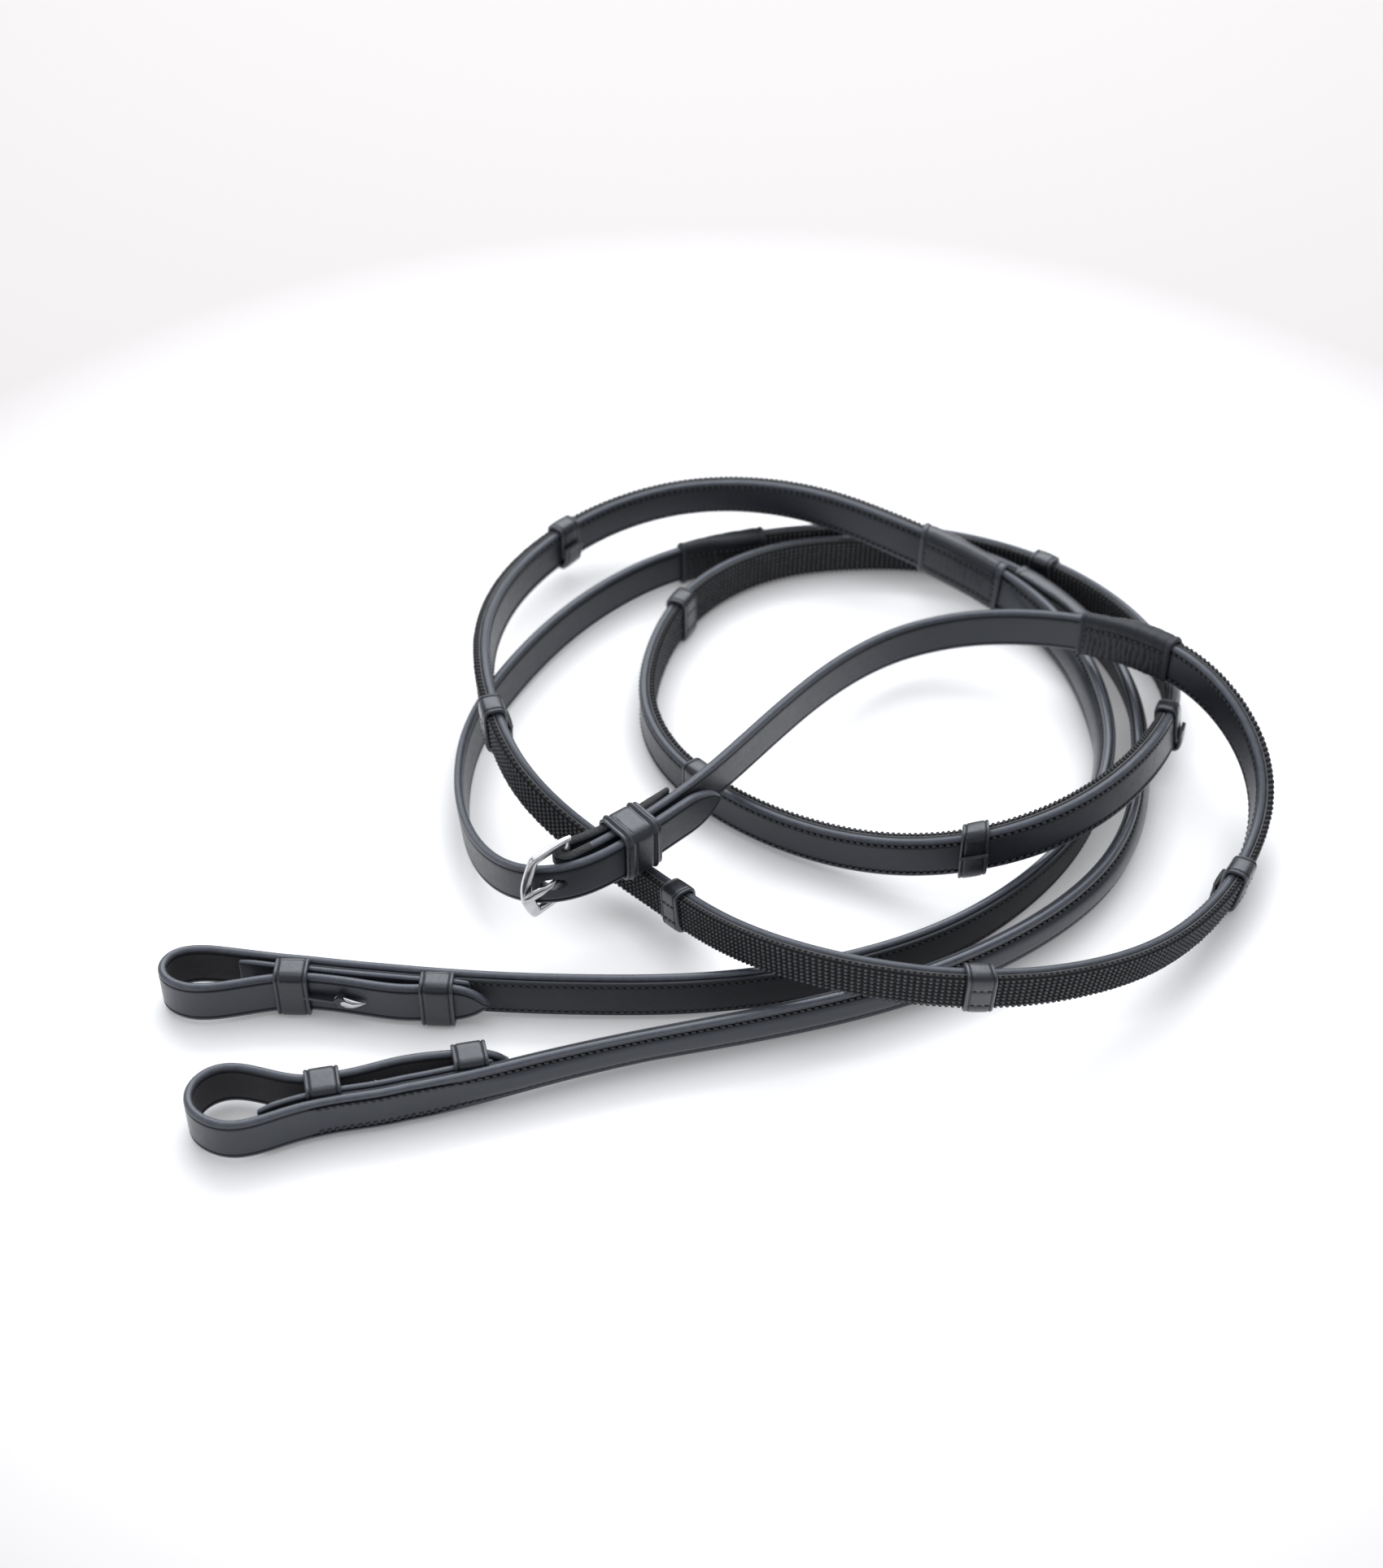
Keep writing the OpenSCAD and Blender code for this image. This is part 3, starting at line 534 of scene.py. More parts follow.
def leather(name, base, edge, rough, grain, coat, edge_wear_and_highlight=0.8, specular=0.5, floor_light_strength=1.0):
    """Leather with painted light: paler at its rounded edges, where real wear and a painted
    highlight share one colour, paler toward its lower edge as a painted floor reflection, and near
    black in its grooves as painted shade.
    """
    sh = Shader(name)
    broad = sh.noise(scale=55, detail=3)
    middle = sh.noise(scale=420, detail=5, rough=0.6)
    fine = sh.noise(scale=2600, detail=4, rough=0.65)
    cells = sh.voronoi(scale=1500, feature="DISTANCE_TO_EDGE")
    pores = sh.voronoi(scale=900)
    edge_value = sh.attribute("edge")
    wear_and_highlight_mask = sh.ramp(edge_value)
    groove = sh.ramp(sh.times(edge_value, -1.0))
    # painted floor reflection: low masks the lower part of each face, which is painted paler toward
    # its lower edge
    low = sh.times(sh.ramp(sh.attribute("rise"), span=(0.15, 1.0)), floor_light_strength)

    colour = sh.mix(sh.ramp(broad, span=(0.3, 0.7)), scaled(base, 0.8), scaled(base, 1.2))
    mottle = sh.ramp(middle, span=(0.35, 0.75), to=(0, 0.4))
    colour = sh.mix(mottle, colour, scaled(base, 1.6))
    painted_floor_light = sh.times(low, sh.ramp(middle, span=(0.2, 0.8), to=(0.4, 0.8)))
    colour = sh.mix(painted_floor_light, colour, scaled(base, 2.3))
    # rounded edges: real wear and a painted highlight in one paler edge colour
    wear_and_highlight = sh.times(wear_and_highlight_mask, sh.ramp(middle, span=(0.25, 0.8), to=(0.45, 1.0)))
    colour = sh.mix(sh.times(wear_and_highlight, edge_wear_and_highlight), colour, edge)
    # painted shade: grooves and creases are painted near black
    colour = sh.mix(sh.times(groove, 0.95), colour, (0.0012, 0.0012, 0.0015))
    sh.set("Base Color", colour)
    roughness = sh.ramp(middle, span=(0.3, 0.7), to=(rough - 0.05, rough + 0.07))
    sh.set("Roughness", sh.plus(roughness, sh.times(groove, 0.4)))

    relief = sh.plus(sh.times(sh.ramp(cells, span=(0.0, 0.18)), 0.45), sh.times(fine, 0.7))
    relief = sh.plus(relief, sh.times(sh.ramp(pores, span=(0.0, 0.16)), 0.35))
    swell = sh.bump(broad, distance=0.0006, strength=0.35)
    sh.set("Normal", sh.bump(relief, distance=0.00007 * grain, strength=0.7, under=swell))
    sh.set("Specular IOR Level", sh.times(sh.ramp(groove, to=(1.0, 0.12)), specular))
    sh.set("Coat Weight", sh.times(sh.ramp(groove, span=(0.0, 0.6), to=(1.0, 0.0)), coat))
    sh.set("Coat Roughness", 0.28)
    sh.set("Coat Normal", swell)
    sh.set("Specular Tint", (0.88, 0.93, 1.0))
    sh.set("Sheen Weight", 0.04)
    return sh.material


def raw_edge():
    sh = Shader("raw_leather_edge")
    fibre = sh.noise(scale=1800, detail=6, rough=0.7)
    patches = sh.noise(scale=300, detail=3)
    colour = sh.mix(sh.ramp(fibre, span=(0.35, 0.7)), (0.018, 0.018, 0.019), (0.085, 0.085, 0.088))
    patch = sh.ramp(patches, span=(0.4, 0.7), to=(0, 0.5))
    sh.set("Base Color", sh.mix(patch, colour, (0.03, 0.031, 0.034)))
    sh.set("Roughness", 0.85)
    sh.set("Normal", sh.bump(fibre, distance=0.0003, strength=0.9))
    return sh.material


def pimpled_rubber():
    """Dark rubber, painted pale grey on the pimple tops, where the edge attribute is high, as a
    painted highlight.
    """
    sh = Shader("pimpled_rubber")
    fine = sh.noise(scale=2200, detail=5, rough=0.7)
    broad = sh.noise(scale=160, detail=3)
    top = sh.ramp(sh.attribute("edge"), span=(0.35, 1.0))
    colour = sh.mix(sh.ramp(broad, span=(0.3, 0.7)),
                    (0.0095, 0.0097, 0.0108), (0.014, 0.0143, 0.0158))
    # painted highlight: pimple tops and rim bulges are painted pale grey, broken up by fine noise
    pimple_top_highlight = sh.times(top, sh.ramp(fine, span=(0.25, 0.75), to=(0.55, 1.0)))
    sh.set("Base Color", sh.mix(pimple_top_highlight, colour, (0.095, 0.097, 0.108)))
    sh.set("Roughness", sh.ramp(fine, span=(0.3, 0.7), to=(0.46, 0.66)))
    sh.set("Normal", sh.bump(fine, distance=0.00012, strength=0.6))
    sh.set("Specular IOR Level", sh.ramp(top, to=(0.12, 0.55)))
    return sh.material


def fabric(name, dark, light):
    sh = Shader(name)
    weave = sh.wave(scale=600.0, distortion=1.5)
    fine = sh.noise(scale=1500, detail=4, rough=0.6)
    broad = sh.noise(scale=90, detail=3)
    colour = sh.mix(sh.ramp(fine, span=(0.3, 0.7)), dark, light)
    stain = sh.ramp(broad, span=(0.45, 0.7), to=(0, 0.6))
    sh.set("Base Color", sh.mix(stain, colour, scaled(dark, 0.5)))
    sh.set("Roughness", 0.9)
    sh.set("Normal", sh.bump(weave, distance=0.0001, strength=0.5))
    return sh.material


def waxed_thread():
    sh = Shader("waxed_thread")
    twist = sh.wave(scale=1900.0, distortion=2.0, bands_direction="DIAGONAL")
    shade = sh.ramp(sh.noise(scale=900, detail=3), span=(0.3, 0.7))
    sh.set("Base Color", sh.mix(shade, (0.018, 0.0185, 0.0215), (0.046, 0.047, 0.054)))
    sh.set("Roughness", 0.5)
    sh.set("Normal", sh.bump(twist, distance=0.00008, strength=0.7))
    return sh.material


def polished_steel():
    sh = Shader("polished_steel")
    stretch = sh.fill(sh.node("Mapping"), {"Scale": (1, 1, 9), "Vector": sh.place})
    scratches = sh.noise(scale=900, detail=4, rough=0.6, place=stretch.outputs[0])
    broad = sh.noise(scale=220, detail=4)
    sh.set("Base Color", sh.mix(sh.ramp(broad, span=(0.35, 0.7)),
                                (0.5, 0.5, 0.515), (0.66, 0.66, 0.67)))
    sh.set("Metallic", 1.0)
    sh.set("Roughness", sh.ramp(broad, span=(0.3, 0.75), to=(0.15, 0.25)))
    waves = sh.bump(broad, distance=0.0002, strength=0.12)
    sh.set("Normal", sh.bump(scratches, distance=0.00002, strength=0.35, under=waves))
    return sh.material


STRAP = leather("strap_leather", base=(0.0088, 0.0098, 0.0146), edge=(0.088, 0.095, 0.117),
                rough=0.4, grain=1.0, coat=0.14, specular=0.44)
RAISED = leather("raised_leather", base=(0.0115, 0.0128, 0.0185), edge=(0.09, 0.097, 0.12),
                 rough=0.34, grain=0.9, coat=0.24)
BAND = leather("band_leather", base=(0.0078, 0.0086, 0.012), edge=(0.055, 0.059, 0.074),
               rough=0.3, grain=0.8, coat=0.3, floor_light_strength=0.6)
WRAP = leather("wrap_leather", base=(0.0062, 0.0068, 0.0092), edge=(0.035, 0.038, 0.047),
               rough=0.5, grain=1.6, coat=0.05, edge_wear_and_highlight=0.7, specular=0.4, floor_light_strength=0.4)
FLESH = leather("flesh_side", base=(0.042, 0.041, 0.044), edge=(0.07, 0.07, 0.074),
                rough=0.72, grain=4.0, coat=0.0, edge_wear_and_highlight=0.5, specular=0.28, floor_light_strength=0.7)
LINING = leather("lining_leather", base=(0.026, 0.0265, 0.030), edge=(0.04, 0.043, 0.053),
                 rough=0.6, grain=2.4, coat=0.0, specular=0.38, floor_light_strength=0.8)
RAW = raw_edge()
RUBBER = pimpled_rubber()
BACKING = fabric("rubber_backing_cloth", dark=(0.085, 0.085, 0.086), light=(0.15, 0.15, 0.152))
CORD = fabric("filler_cord", dark=(0.34, 0.28, 0.19), light=(0.5, 0.43, 0.31))
THREAD = waxed_thread()
STEEL = polished_steel()


# ---------------------------------------------------------------- stitches
def stitch_shape():
    """One stitch of unit size, sagging to its ends: six-sided, closed to a point at both."""
    xs = np.array([-0.96, -0.72, -0.3, 0.3, 0.72, 0.96])
    radii = np.sqrt(np.clip(1 - np.abs(xs) ** 2.6, 0, 1))
    radii[0] = radii[-1] = 0.3
    m = 6
    angles = np.arange(m) * 2 * math.pi / m + math.pi / 6
    points = [(-1.0, 0, -0.25)]
    points += [(x, r * math.cos(t), r * math.sin(t) - 0.35 * x * x)
               for x, r in zip(xs, radii) for t in angles]
    points.append((1.0, 0, -0.25))
    faces = [[0, 1 + (j + 1) % m, 1 + j] for j in range(m)]
    for i in range(len(xs) - 1):
        for j in range(m):
            a, b = 1 + i * m + j, 1 + i * m + (j + 1) % m
            faces.append([a, b, b + m, a + m])
    last = len(points) - 1
    faces += [[last, last - m + j, last - m + (j + 1) % m] for j in range(m)]
    return np.array(points), faces


STITCH_POINTS, STITCH_FACES = stitch_shape()


class Stitches:
    """Collects stitches into one mesh. Sizes are (length, width, height); face is 1 or -1."""

    def __init__(self):
        self.points, self.faces = [], []

    def add(self, centre, along, across, out, size, slant):
        c, s = math.cos(slant), math.sin(slant)
        length, width, height = size
        v = STITCH_POINTS * np.array([length / 2, width / 2, height])
        first = len(self.points) * len(v)
        self.points.append(centre + v[:, :1] * (along * c + across * s)
                           + v[:, 1:2] * (across * c - along * s) + v[:, 2:3] * out)
        self.faces += [[i + first for i in face] for face in STITCH_FACES]

    @staticmethod
    def surface(path, s, w, h, face):
        """Centre, direction along, direction up and outward normal on a face."""
        p = path.points([s - 0.5, s + 0.5, s, s], w, [h, h, h - 0.5, h + 0.5])
        along, up = unit(p[1] - p[0]), unit(p[3] - p[2])
        out = np.cross(up, along)
        if np.dot(out, path.frame(s)[2]) * face * path.side < 0:
            out = -out
        return (p[0] + p[1]) / 2, along, up, out

    def row(self, path, start, end, w, h, face, pitch, size, slant):
        """Stitches along the strap; w may be a function of s."""
        count = max(1, int(round((end - start) / pitch)))
        for i in range(count):
            s = start + (i + 0.5) * (end - start) / count
            centre, along, up, out = self.surface(path, s, w(s) if callable(w) else w, h, face)
            length = size[0] * (0.95 + 0.1 * rng.random())
            self.add(centre, along, up, unit(out), (length, *size[1:]), slant * face * path.side)

    def column(self, path, s, w, start, end, face):
        """Stitches up a face at one station."""
        count = max(1, int(round((end - start) / 2.2)))
        for i in range(count):
            h = start + (i + 0.5) * (end - start) / count
            centre, along, up, out = self.surface(path, s, w, h, face)
            self.add(centre, up, along, out, size=(1.7, 0.6, 0.34), slant=0.15)

    def build(self, name):
        attach(make_object(name, np.concatenate(self.points), self.faces, THREAD))


def opposed(h, slant):
    """Slant of a row: the upper row leans against the lower one."""
    return slant if h > W / 2 else -slant


# ---------------------------------------------------------------- the two reins
class Rein(SimpleNamespace):
    """Design values of one rein and its paths.

    hand, grip, hand_wrap, bit_wrap (start, end), stops and join are stations of the rein's
    spline; lining_end, safe_end, split, keepers and stud are stations of the loop's spline.
    """

    def __init__(self, **design):
        super().__init__(**design)
        self.full = Path(spline_run(self.line, 0.0, LAST_STATION), 1.0, side=self.side)
        self.full_u = np.linspace(0, LAST_STATION, 3061)
        self.full_run = arc_lengths(spline(self.line, self.full_u)[:, :3])
        # bit end: the rein with its lean dying away, then round the loop
        start, end = self.grip[1] + 0.04, self.join - 0.15
        rein = spline_run(self.line, start, end)
        n = len(rein)
        rein[:, 3] *= clamp((n - np.arange(n)) / 150.0)
        self.loop_v = np.linspace(0, LOOP_TIP, 400)
        loop = np.c_[spline(self.loop, self.loop_v), np.full(400, 1.5), np.zeros(400)]
        both = np.r_[rein, loop]
        self.bit = Path(both, 0.8, blur=2.2, side=self.side)
        run = arc_lengths(both[:, :3])
        self.bit_u = np.linspace(start, end, n)
        self.bit_run, self.loop_run = run[:n], run[n:]
        self.join_s = run[n - 1]

    def full_s(self, u):
        """Length along the full path at a rein station."""
        return float(np.interp(u, self.full_u, self.full_run))

    def bit_s(self, u):
        """Length along the bit path at a rein station."""
        return float(np.interp(u, self.bit_u, self.bit_run))

    def loop_s(self, v):
        """Length along the bit path at a loop station."""
        return float(np.interp(v, self.loop_v, self.loop_run))

    def facing(self, point):
        """Index on the bit path, before the loop turns back, nearest a point, and its distance."""
        d = self.bit.distances(point)
        i = int(np.argmin(np.where(self.bit.s < self.loop_s(6.0), d, 1e9)))
        return i, float(d[i])


A = Rein(
    key="a", side=1, line=REIN_A, loop=LOOP_A, hand=(0.0, 9.03), grip=(9.07, 35.17), join=49.48,
    lining_end=2.8, safe_end=5.2, stops=[13.45, 17.42, 21.32, 24.85, 29.3], stop_phase=0,
    hand_wrap=(8.45, 9.65), bit_wrap=(34.45, 35.65), wrap_seeds=(3, 5), split=9.0,
    keepers=(12.8, 18.1), stud=14.75, safe_before_join=30.8, safe_trim=6.5)
B = Rein(
    key="b", side=-1, line=REIN_B, loop=LOOP_B, hand=(0.15, 10.9), grip=(10.94, 35.87), join=49.5,
    lining_end=3.4, safe_end=5.4, stops=[15.37, 19.4, 22.95, 26.5, 30.1], stop_phase=1.3,
    hand_wrap=(10.35, 11.5), bit_wrap=(35.2, 36.4), wrap_seeds=(8, 11), split=9.5,
    keepers=(13.5, 18.5), stud=15.2, safe_before_join=24.2, safe_trim=4.0)
REINS = (A, B)

# ---------------------------------------------------------------- buckle frame of reference
# Origin in the middle of the bar; X toward the far limb of the frame, Y level across it, Z up.
start_a = spline(REIN_A, 0)[0]
dir_a = heading(REIN_A, 0)
left_a = turn_left(dir_a)
FOLD_R = BAR_D / 2 + CLEARANCE + HAND_T / 2
bar_xy = start_a[:2] + left_a * FOLD_R
BAR_Z = start_a[2] + W / 2
LIMB_STATION = 2.62  # station of rein b beside the far limb
limb_xy = (spline(REIN_B, LIMB_STATION)[0][:2]
           + turn_left(heading(REIN_B, LIMB_STATION)) * (HAND_T / 2 + FRAME_T / 2 + 2.75))
LIMB = float(np.linalg.norm(limb_xy - bar_xy))
limb_angle = math.atan2(limb_xy[1] - bar_xy[1], limb_xy[0] - bar_xy[0])
BAR_X = Vector((math.cos(limb_angle), math.sin(limb_angle), 0))
BAR_Y = Vector((-math.sin(limb_angle), math.cos(limb_angle), 0))
BAR_UP = Vector((0, 0, 1))
BAR_CENTRE = Vector((bar_xy[0], bar_xy[1], BAR_Z))

# Middle line of the buckle tongue
TONGUE_X = np.array([1.2, 2.5, 4.0, 5.5, 7.0, 9.0, 11.5,
                     LIMB - 2.4, LIMB - 0.6, LIMB + 1.0, LIMB + 2.6])
TONGUE_Y = np.array([0.15, 0.75, 1.75, 2.65, 3.2, 3.5, 3.35, 3.0, 2.85, 2.6, 2.3])


def bar_point(x, y, z):
    return np.array(BAR_CENTRE + BAR_X * x + BAR_Y * y + BAR_UP * z)


# ---------------------------------------------------------------- hand straps
HAND_GROOVES = [(1.9, 0.2, 0.42)]  # inset, depth, half width
HAND_TIP = 17.0      # length of the point of strap b


def point_height(x, least, power, fullness):
    """Height of a strap narrowing to a point; x is 0 at the tip and 1 where it is full."""
    return 2 * max(least, W / 2 * (1 - (1 - clamp(x)) ** power) ** fullness)


def hand_section(thickness, height=W):
    return section(centred(thickness), centred(height, W / 2), 1.35, 15, 7,
                   HAND_GROOVES, HAND_GROOVES)


def hand_strap_a():
    """Folded round the buckle bar; its end lies beside the strap and is pared thin."""
    fold = []
    for u in 1.5 * (1 - np.arange(61) / 60):
        p = spline(REIN_A, u)[0]
        off = HAND_T + 2 * CLEARANCE + BAR_D * (1 - u / 1.5) ** 3
        fold.append([*(p[:2] + turn_left(heading(REIN_A, u, 0.05)) * off), p[2], 0])
    turn = []
    for angle in np.radians(11.25 * np.arange(1, 16)):
        xy = bar_xy + FOLD_R * (math.cos(angle) * left_a - math.sin(angle) * dir_a)
        turn.append([*xy, start_a[2], 0])
    path = Path(np.r_[np.array(fold), np.array(turn), spline_run(REIN_A, *A.hand)], 0.6, blur=1.2)

    def raw_top(s, h):
        return (s < 61.0) & (h > W - 1.25) & (np.roll(h, -1, 1) > W - 1.25)

    obj = strap("hand_strap_a_leather", path, 0, path.length,
                lambda s: hand_section(HAND_T * (0.55 + 0.45 * clamp(s / 10.0))),
                STRAP, step=1.3, patch=(RAW, raw_top))
    slot = [(-4.2, -2.7), (7.5, -2.7), (8.6, -1.6), (8.6, 1.6), (7.5, 2.7), (-4.2, 2.7)]
    cut_prism(obj, "slot", slot, BAR_CENTRE, BAR_X, BAR_UP, BAR_Y, 9)
    attach(obj, "hand_strap_a")


def tongue_crossing(path):
    """Length and buckle x where a strap's middle comes closest to the tongue's line."""
    crossings = []
    for s in np.linspace(20, 90, 700):
        offset = Vector(path.middle(s)) - BAR_CENTRE
        x, y = offset.dot(BAR_X), offset.dot(BAR_Y)
        if 0 < x < LIMB + 2:
            crossings.append((abs(y - float(np.interp(x, TONGUE_X, TONGUE_Y))), s, x))
    return min(crossings)[1:]


def hand_strap_b():
    """Pointed strap with the hole for the tongue."""
    start = spline(REIN_B, B.hand[0])[0]
    direction = heading(REIN_B, B.hand[0])
    # a straight run-out ahead of the first station
    lead = [[*(start[:2] - direction * k), start[2] - 0.1 * k, 0] for k in np.arange(8, 0.4, -0.5)]
    path = Path(np.r_[np.array(lead), spline_run(REIN_B, B.hand[0], 11.0)], 0.8, 1.2, B.side)
    end = path.s[int(np.argmin(path.distances(spline(REIN_B, B.hand[1])[0])))]
    obj = strap("hand_strap_b_leather", path, 0.0, end,
                lambda s: hand_section(HAND_T, point_height(s / HAND_TIP, 0.7, 1.9, 0.62)),
                STRAP, step=1.4, extra=np.linspace(0.0, HAND_TIP, 28))
    s, x = tongue_crossing(path)
    values, _, normal, along = path.frame(s)
    centre = path.middle(s, BAR_Z - x * math.tan(DROOP) - values[2])
    oval = [(4.9 * math.cos(a), 2.35 * math.sin(a))
            for a in np.linspace(0, 2 * math.pi, 20, endpoint=False)]
    cut_prism(obj, "hole", oval, centre, along, unit(np.cross(along, normal)), normal, 4)
    attach(obj, "hand_strap_b")


hand_strap_a()
hand_strap_b()


# ---------------------------------------------------------------- outlines of bands and sleeves
def cut_corners(points, times, closed):
    """Round a polyline by cutting its corners."""
    p = np.array(points, float)
    for _ in range(times):
        a, b = (p, np.roll(p, -1, 0)) if closed else (p[:-1], p[1:])
        cut = np.stack([a * 0.75 + b * 0.25, a * 0.25 + b * 0.75], 1).reshape(-1, 2)
        p = cut if closed else np.r_[p[:1], cut, p[-1:]]
    return p


def even_points(p, closed, step=None, count=None):
    """Points at even spacing along a polyline."""
    q = np.r_[p, p[:1]] if closed else p
    run = arc_lengths(q)
    count = count or max(8, int(round(run[-1] / step)))
    r = lookup(np.linspace(0, run[-1], count + 1), run, q)
    return r[:-1] if closed else r


def outward(p, closed):
    t = np.roll(p, -1, 0) - np.roll(p, 1, 0) if closed else np.gradient(p, axis=0)
    t = unit_rows(t)
    n = np.stack([-t[:, 1], t[:, 0]], 1)
    return -n if ((p - p.mean(0)) * n).sum() < 0 else n


def wrap_round(path, s, outline, closed, across, out):
    """Grid of a band laid round an outline (w, h), and its heights.

    across and out give its profile: distance along the path and lift off the outline.
    """
    n = outward(outline, closed)
    w = outline[:, :1] + n[:, :1] * out
    h = outline[:, 1:] + n[:, 1:] * out
    return path.points(s + across, w, h), h


def band_profile(width, t, crease_depth, belly):
    """Closed profile (across, lift) of a band with a crease near each rim, and edge values."""
    half = width / 2
    creases = (-(half - 1.35), half - 1.35)
    rim = [(half - 0.5, t), (half - 0.18, t * 0.9), (half - 0.03, t * 0.62), (half, t * 0.15)]

    def surface(x):
        return t + belly * (1 - (x / half) ** 2)

    top = [(x, surface(x)) for x in np.linspace(-half + 0.9, half - 0.9, 13)
           if all(abs(x - c) > 0.55 for c in creases)]
    for c in creases:
        for x, depth in ((-0.42, 0), (-0.18, 0.8), (0, 1), (0.18, 0.8), (0.42, 0)):
            top.append((c + x, surface(c) - crease_depth * depth))
    outer = [(-x, d) for x, d in rim[::-1]] + sorted(top) + rim
    inner = [(half - 0.2, 0.0), (0.0, 0.0), (-half + 0.2, 0.0)]

    # edge values: 1 at the rims, painted paler as wear and a highlight; negative in the creases,
    # painted as shade
    def edge_value(x):
        if abs(x) > half - 0.75:
            return 1
        return -0.42 if any(abs(x - c) < 0.3 for c in creases) else 0

    return np.array(outer + inner), np.array([edge_value(x) for x, _ in outer] + [0.3] * 3, float)


def band(name, path, s, width, outline, t, crease_depth, belly, rounding, dents=None):
    """Open band following an outline round a strap; dents(outline, across) moves its surface."""
    p = even_points(cut_corners(outline, rounding, False), False, step=0.45)
    profile, edge = band_profile(width, t, crease_depth, belly)
    shape = (len(p), len(profile))
    across = np.broadcast_to(profile[:, 0], shape)
    out = np.broadcast_to(profile[:, 1], shape)
    if dents:
        out = out + np.where(out > t * 0.5, dents(p, across), 0.0)
    grid, h = wrap_round(path, s, p, False, across, out)
    return sweep(name, grid, BAND, edge, clamp(1 - h / W))


# ---------------------------------------------------------------- grips
def pimpled_strip(rein, start, end):
    """Rubber on the + face: a grid of square pimples of slightly uneven height."""
    pitch_s, pitch_h, rows = 2.0, 1.89, 8
    first_s, first_h = start + 0.6, 0.42
    # one pimple: places of its corners as parts of the pitch, and its relief there
    corners_s = np.array([0.0, 0.16, 0.36, 0.7, 0.9])
    corners_h = np.array([0.0, 0.24, 0.42, 0.72, 0.92])
    relief = np.array([0.0, 0.06, 1.0, 1.0, 0.06])
    columns = int((end - start - 1.2) / pitch_s)

    def lay_out(first, count, corners, pitch):
        places = (first + (np.arange(count)[:, None] + corners) * pitch).ravel()
        return np.r_[places, first + count * pitch], np.r_[np.tile(relief, count), 0.0]

    s, relief_s = lay_out(first_s, columns, corners_s, pitch_s)
    h, relief_h = lay_out(first_h, rows, corners_h, pitch_h)
    uneven = 0.9 + 0.2 * rng.random((columns + 1, rows + 1))
    uneven = np.repeat(np.repeat(uneven, 5, 0), 5, 1)[:len(s), :len(h)]
    pimples = np.minimum(relief_s[:, None], relief_h[None, :]) * uneven

    base, top, back = RUBBER_OUT - 0.95, RUBBER_OUT + 0.02, RUBBER_IN + 0.22
    bulge = relief_s[:, None]  # the pimples also bulge the top and bottom edges
    back = np.full((len(s), 1), back)
    shoulder = base - 0.05 + 0.55 * bulge
    upper, lower = (W - 0.5) + 0.3 * bulge, 0.36 - 0.22 * bulge
    ring_w = np.concatenate([base + (top - base) * pimples, shoulder, back, back, shoulder], 1)
    ring_h = np.concatenate([np.broadcast_to(h, pimples.shape), upper, upper - 0.15,
                             lower + 0.1, lower], 1)
    # edge marks the pimple tops and rim bulges, which the rubber paints pale as a highlight
    edge = np.concatenate([pimples, np.repeat(bulge * 0.6, 4, 1)], 1)
    grid = rein.full.points(s[:, None], ring_w, ring_h)
    obj = sweep("grip_rubber_%s_pimpled" % rein.key, grid, RUBBER, edge)
    attach(obj, "grip_rubber_" + rein.key)


def grip(rein):
    path, key = rein.full, rein.key
    start, end = (rein.full_s(u) for u in rein.grip)
    obj = strap("grip_leather_%s_hide" % key, path, start, end,
                lambda s: section(centred(GRIP_T), (0, W), 1.5, 13, 7, [(2.1, 0.32, 0.62)]), STRAP)
    attach(obj, "grip_leather_" + key)
    # the cloth shows as a thin pale line between leather and rubber
    cloth = (GRIP_T / 2 + 0.08, GRIP_T / 2 + 0.6)
    obj = strap("grip_backing_%s" % key, path, start + 0.5, end - 0.5,
                lambda s: section(cloth, (0.4, W - 0.3), 0.2, 5, 3),
                BACKING, step=1.6, round_start=False, round_end=False)
    attach(obj)
    pimpled_strip(rein, start, end)
    # two rows on the leather side, broken at the hand stops
    breaks = [rein.full_s(rein.hand_wrap[1]) + 0.5]
    for u in rein.stops:
        breaks += [rein.full_s(u) - 5.4, rein.full_s(u) + 5.4]
    breaks.append(rein.full_s(rein.bit_wrap[0]) - 0.5)
    stitches = Stitches()
    for row_start, row_end in zip(breaks[::2], breaks[1::2]):
        for h in (2.1, W - 2.1):
            stitches.row(path, row_start, row_end, -GRIP_T / 2 + 0.02, h, -1,
                         pitch=2.4, size=(1.8, 0.92, 0.42), slant=opposed(h, 0.3))
    stitches.build("grip_stitching_%s" % key)


for rein in REINS:
    grip(rein)

# ---------------------------------------------------------------- hand stops
STOP_T = 1.25
STOP_MINUS = -GRIP_T / 2 - 0.12  # inside of the band on the two faces
STOP_PLUS = RUBBER_OUT + 0.02
STOP_ROWS = (11.2, 3.6)          # heights of the thread rows over the rubber


def stop_dents(outline, across):
    """The thread rows pull the band in on the rubber side."""
    on = clamp((outline[:, 0] - STOP_PLUS + 1.2) / 1.0)[:, None]
    inside = clamp((3.9 - np.abs(across)) / 0.8)
    pull = sum(bell(outline[:, 1:2] - h, 0.42) for h in STOP_ROWS)
    return -0.34 * pull * on * inside


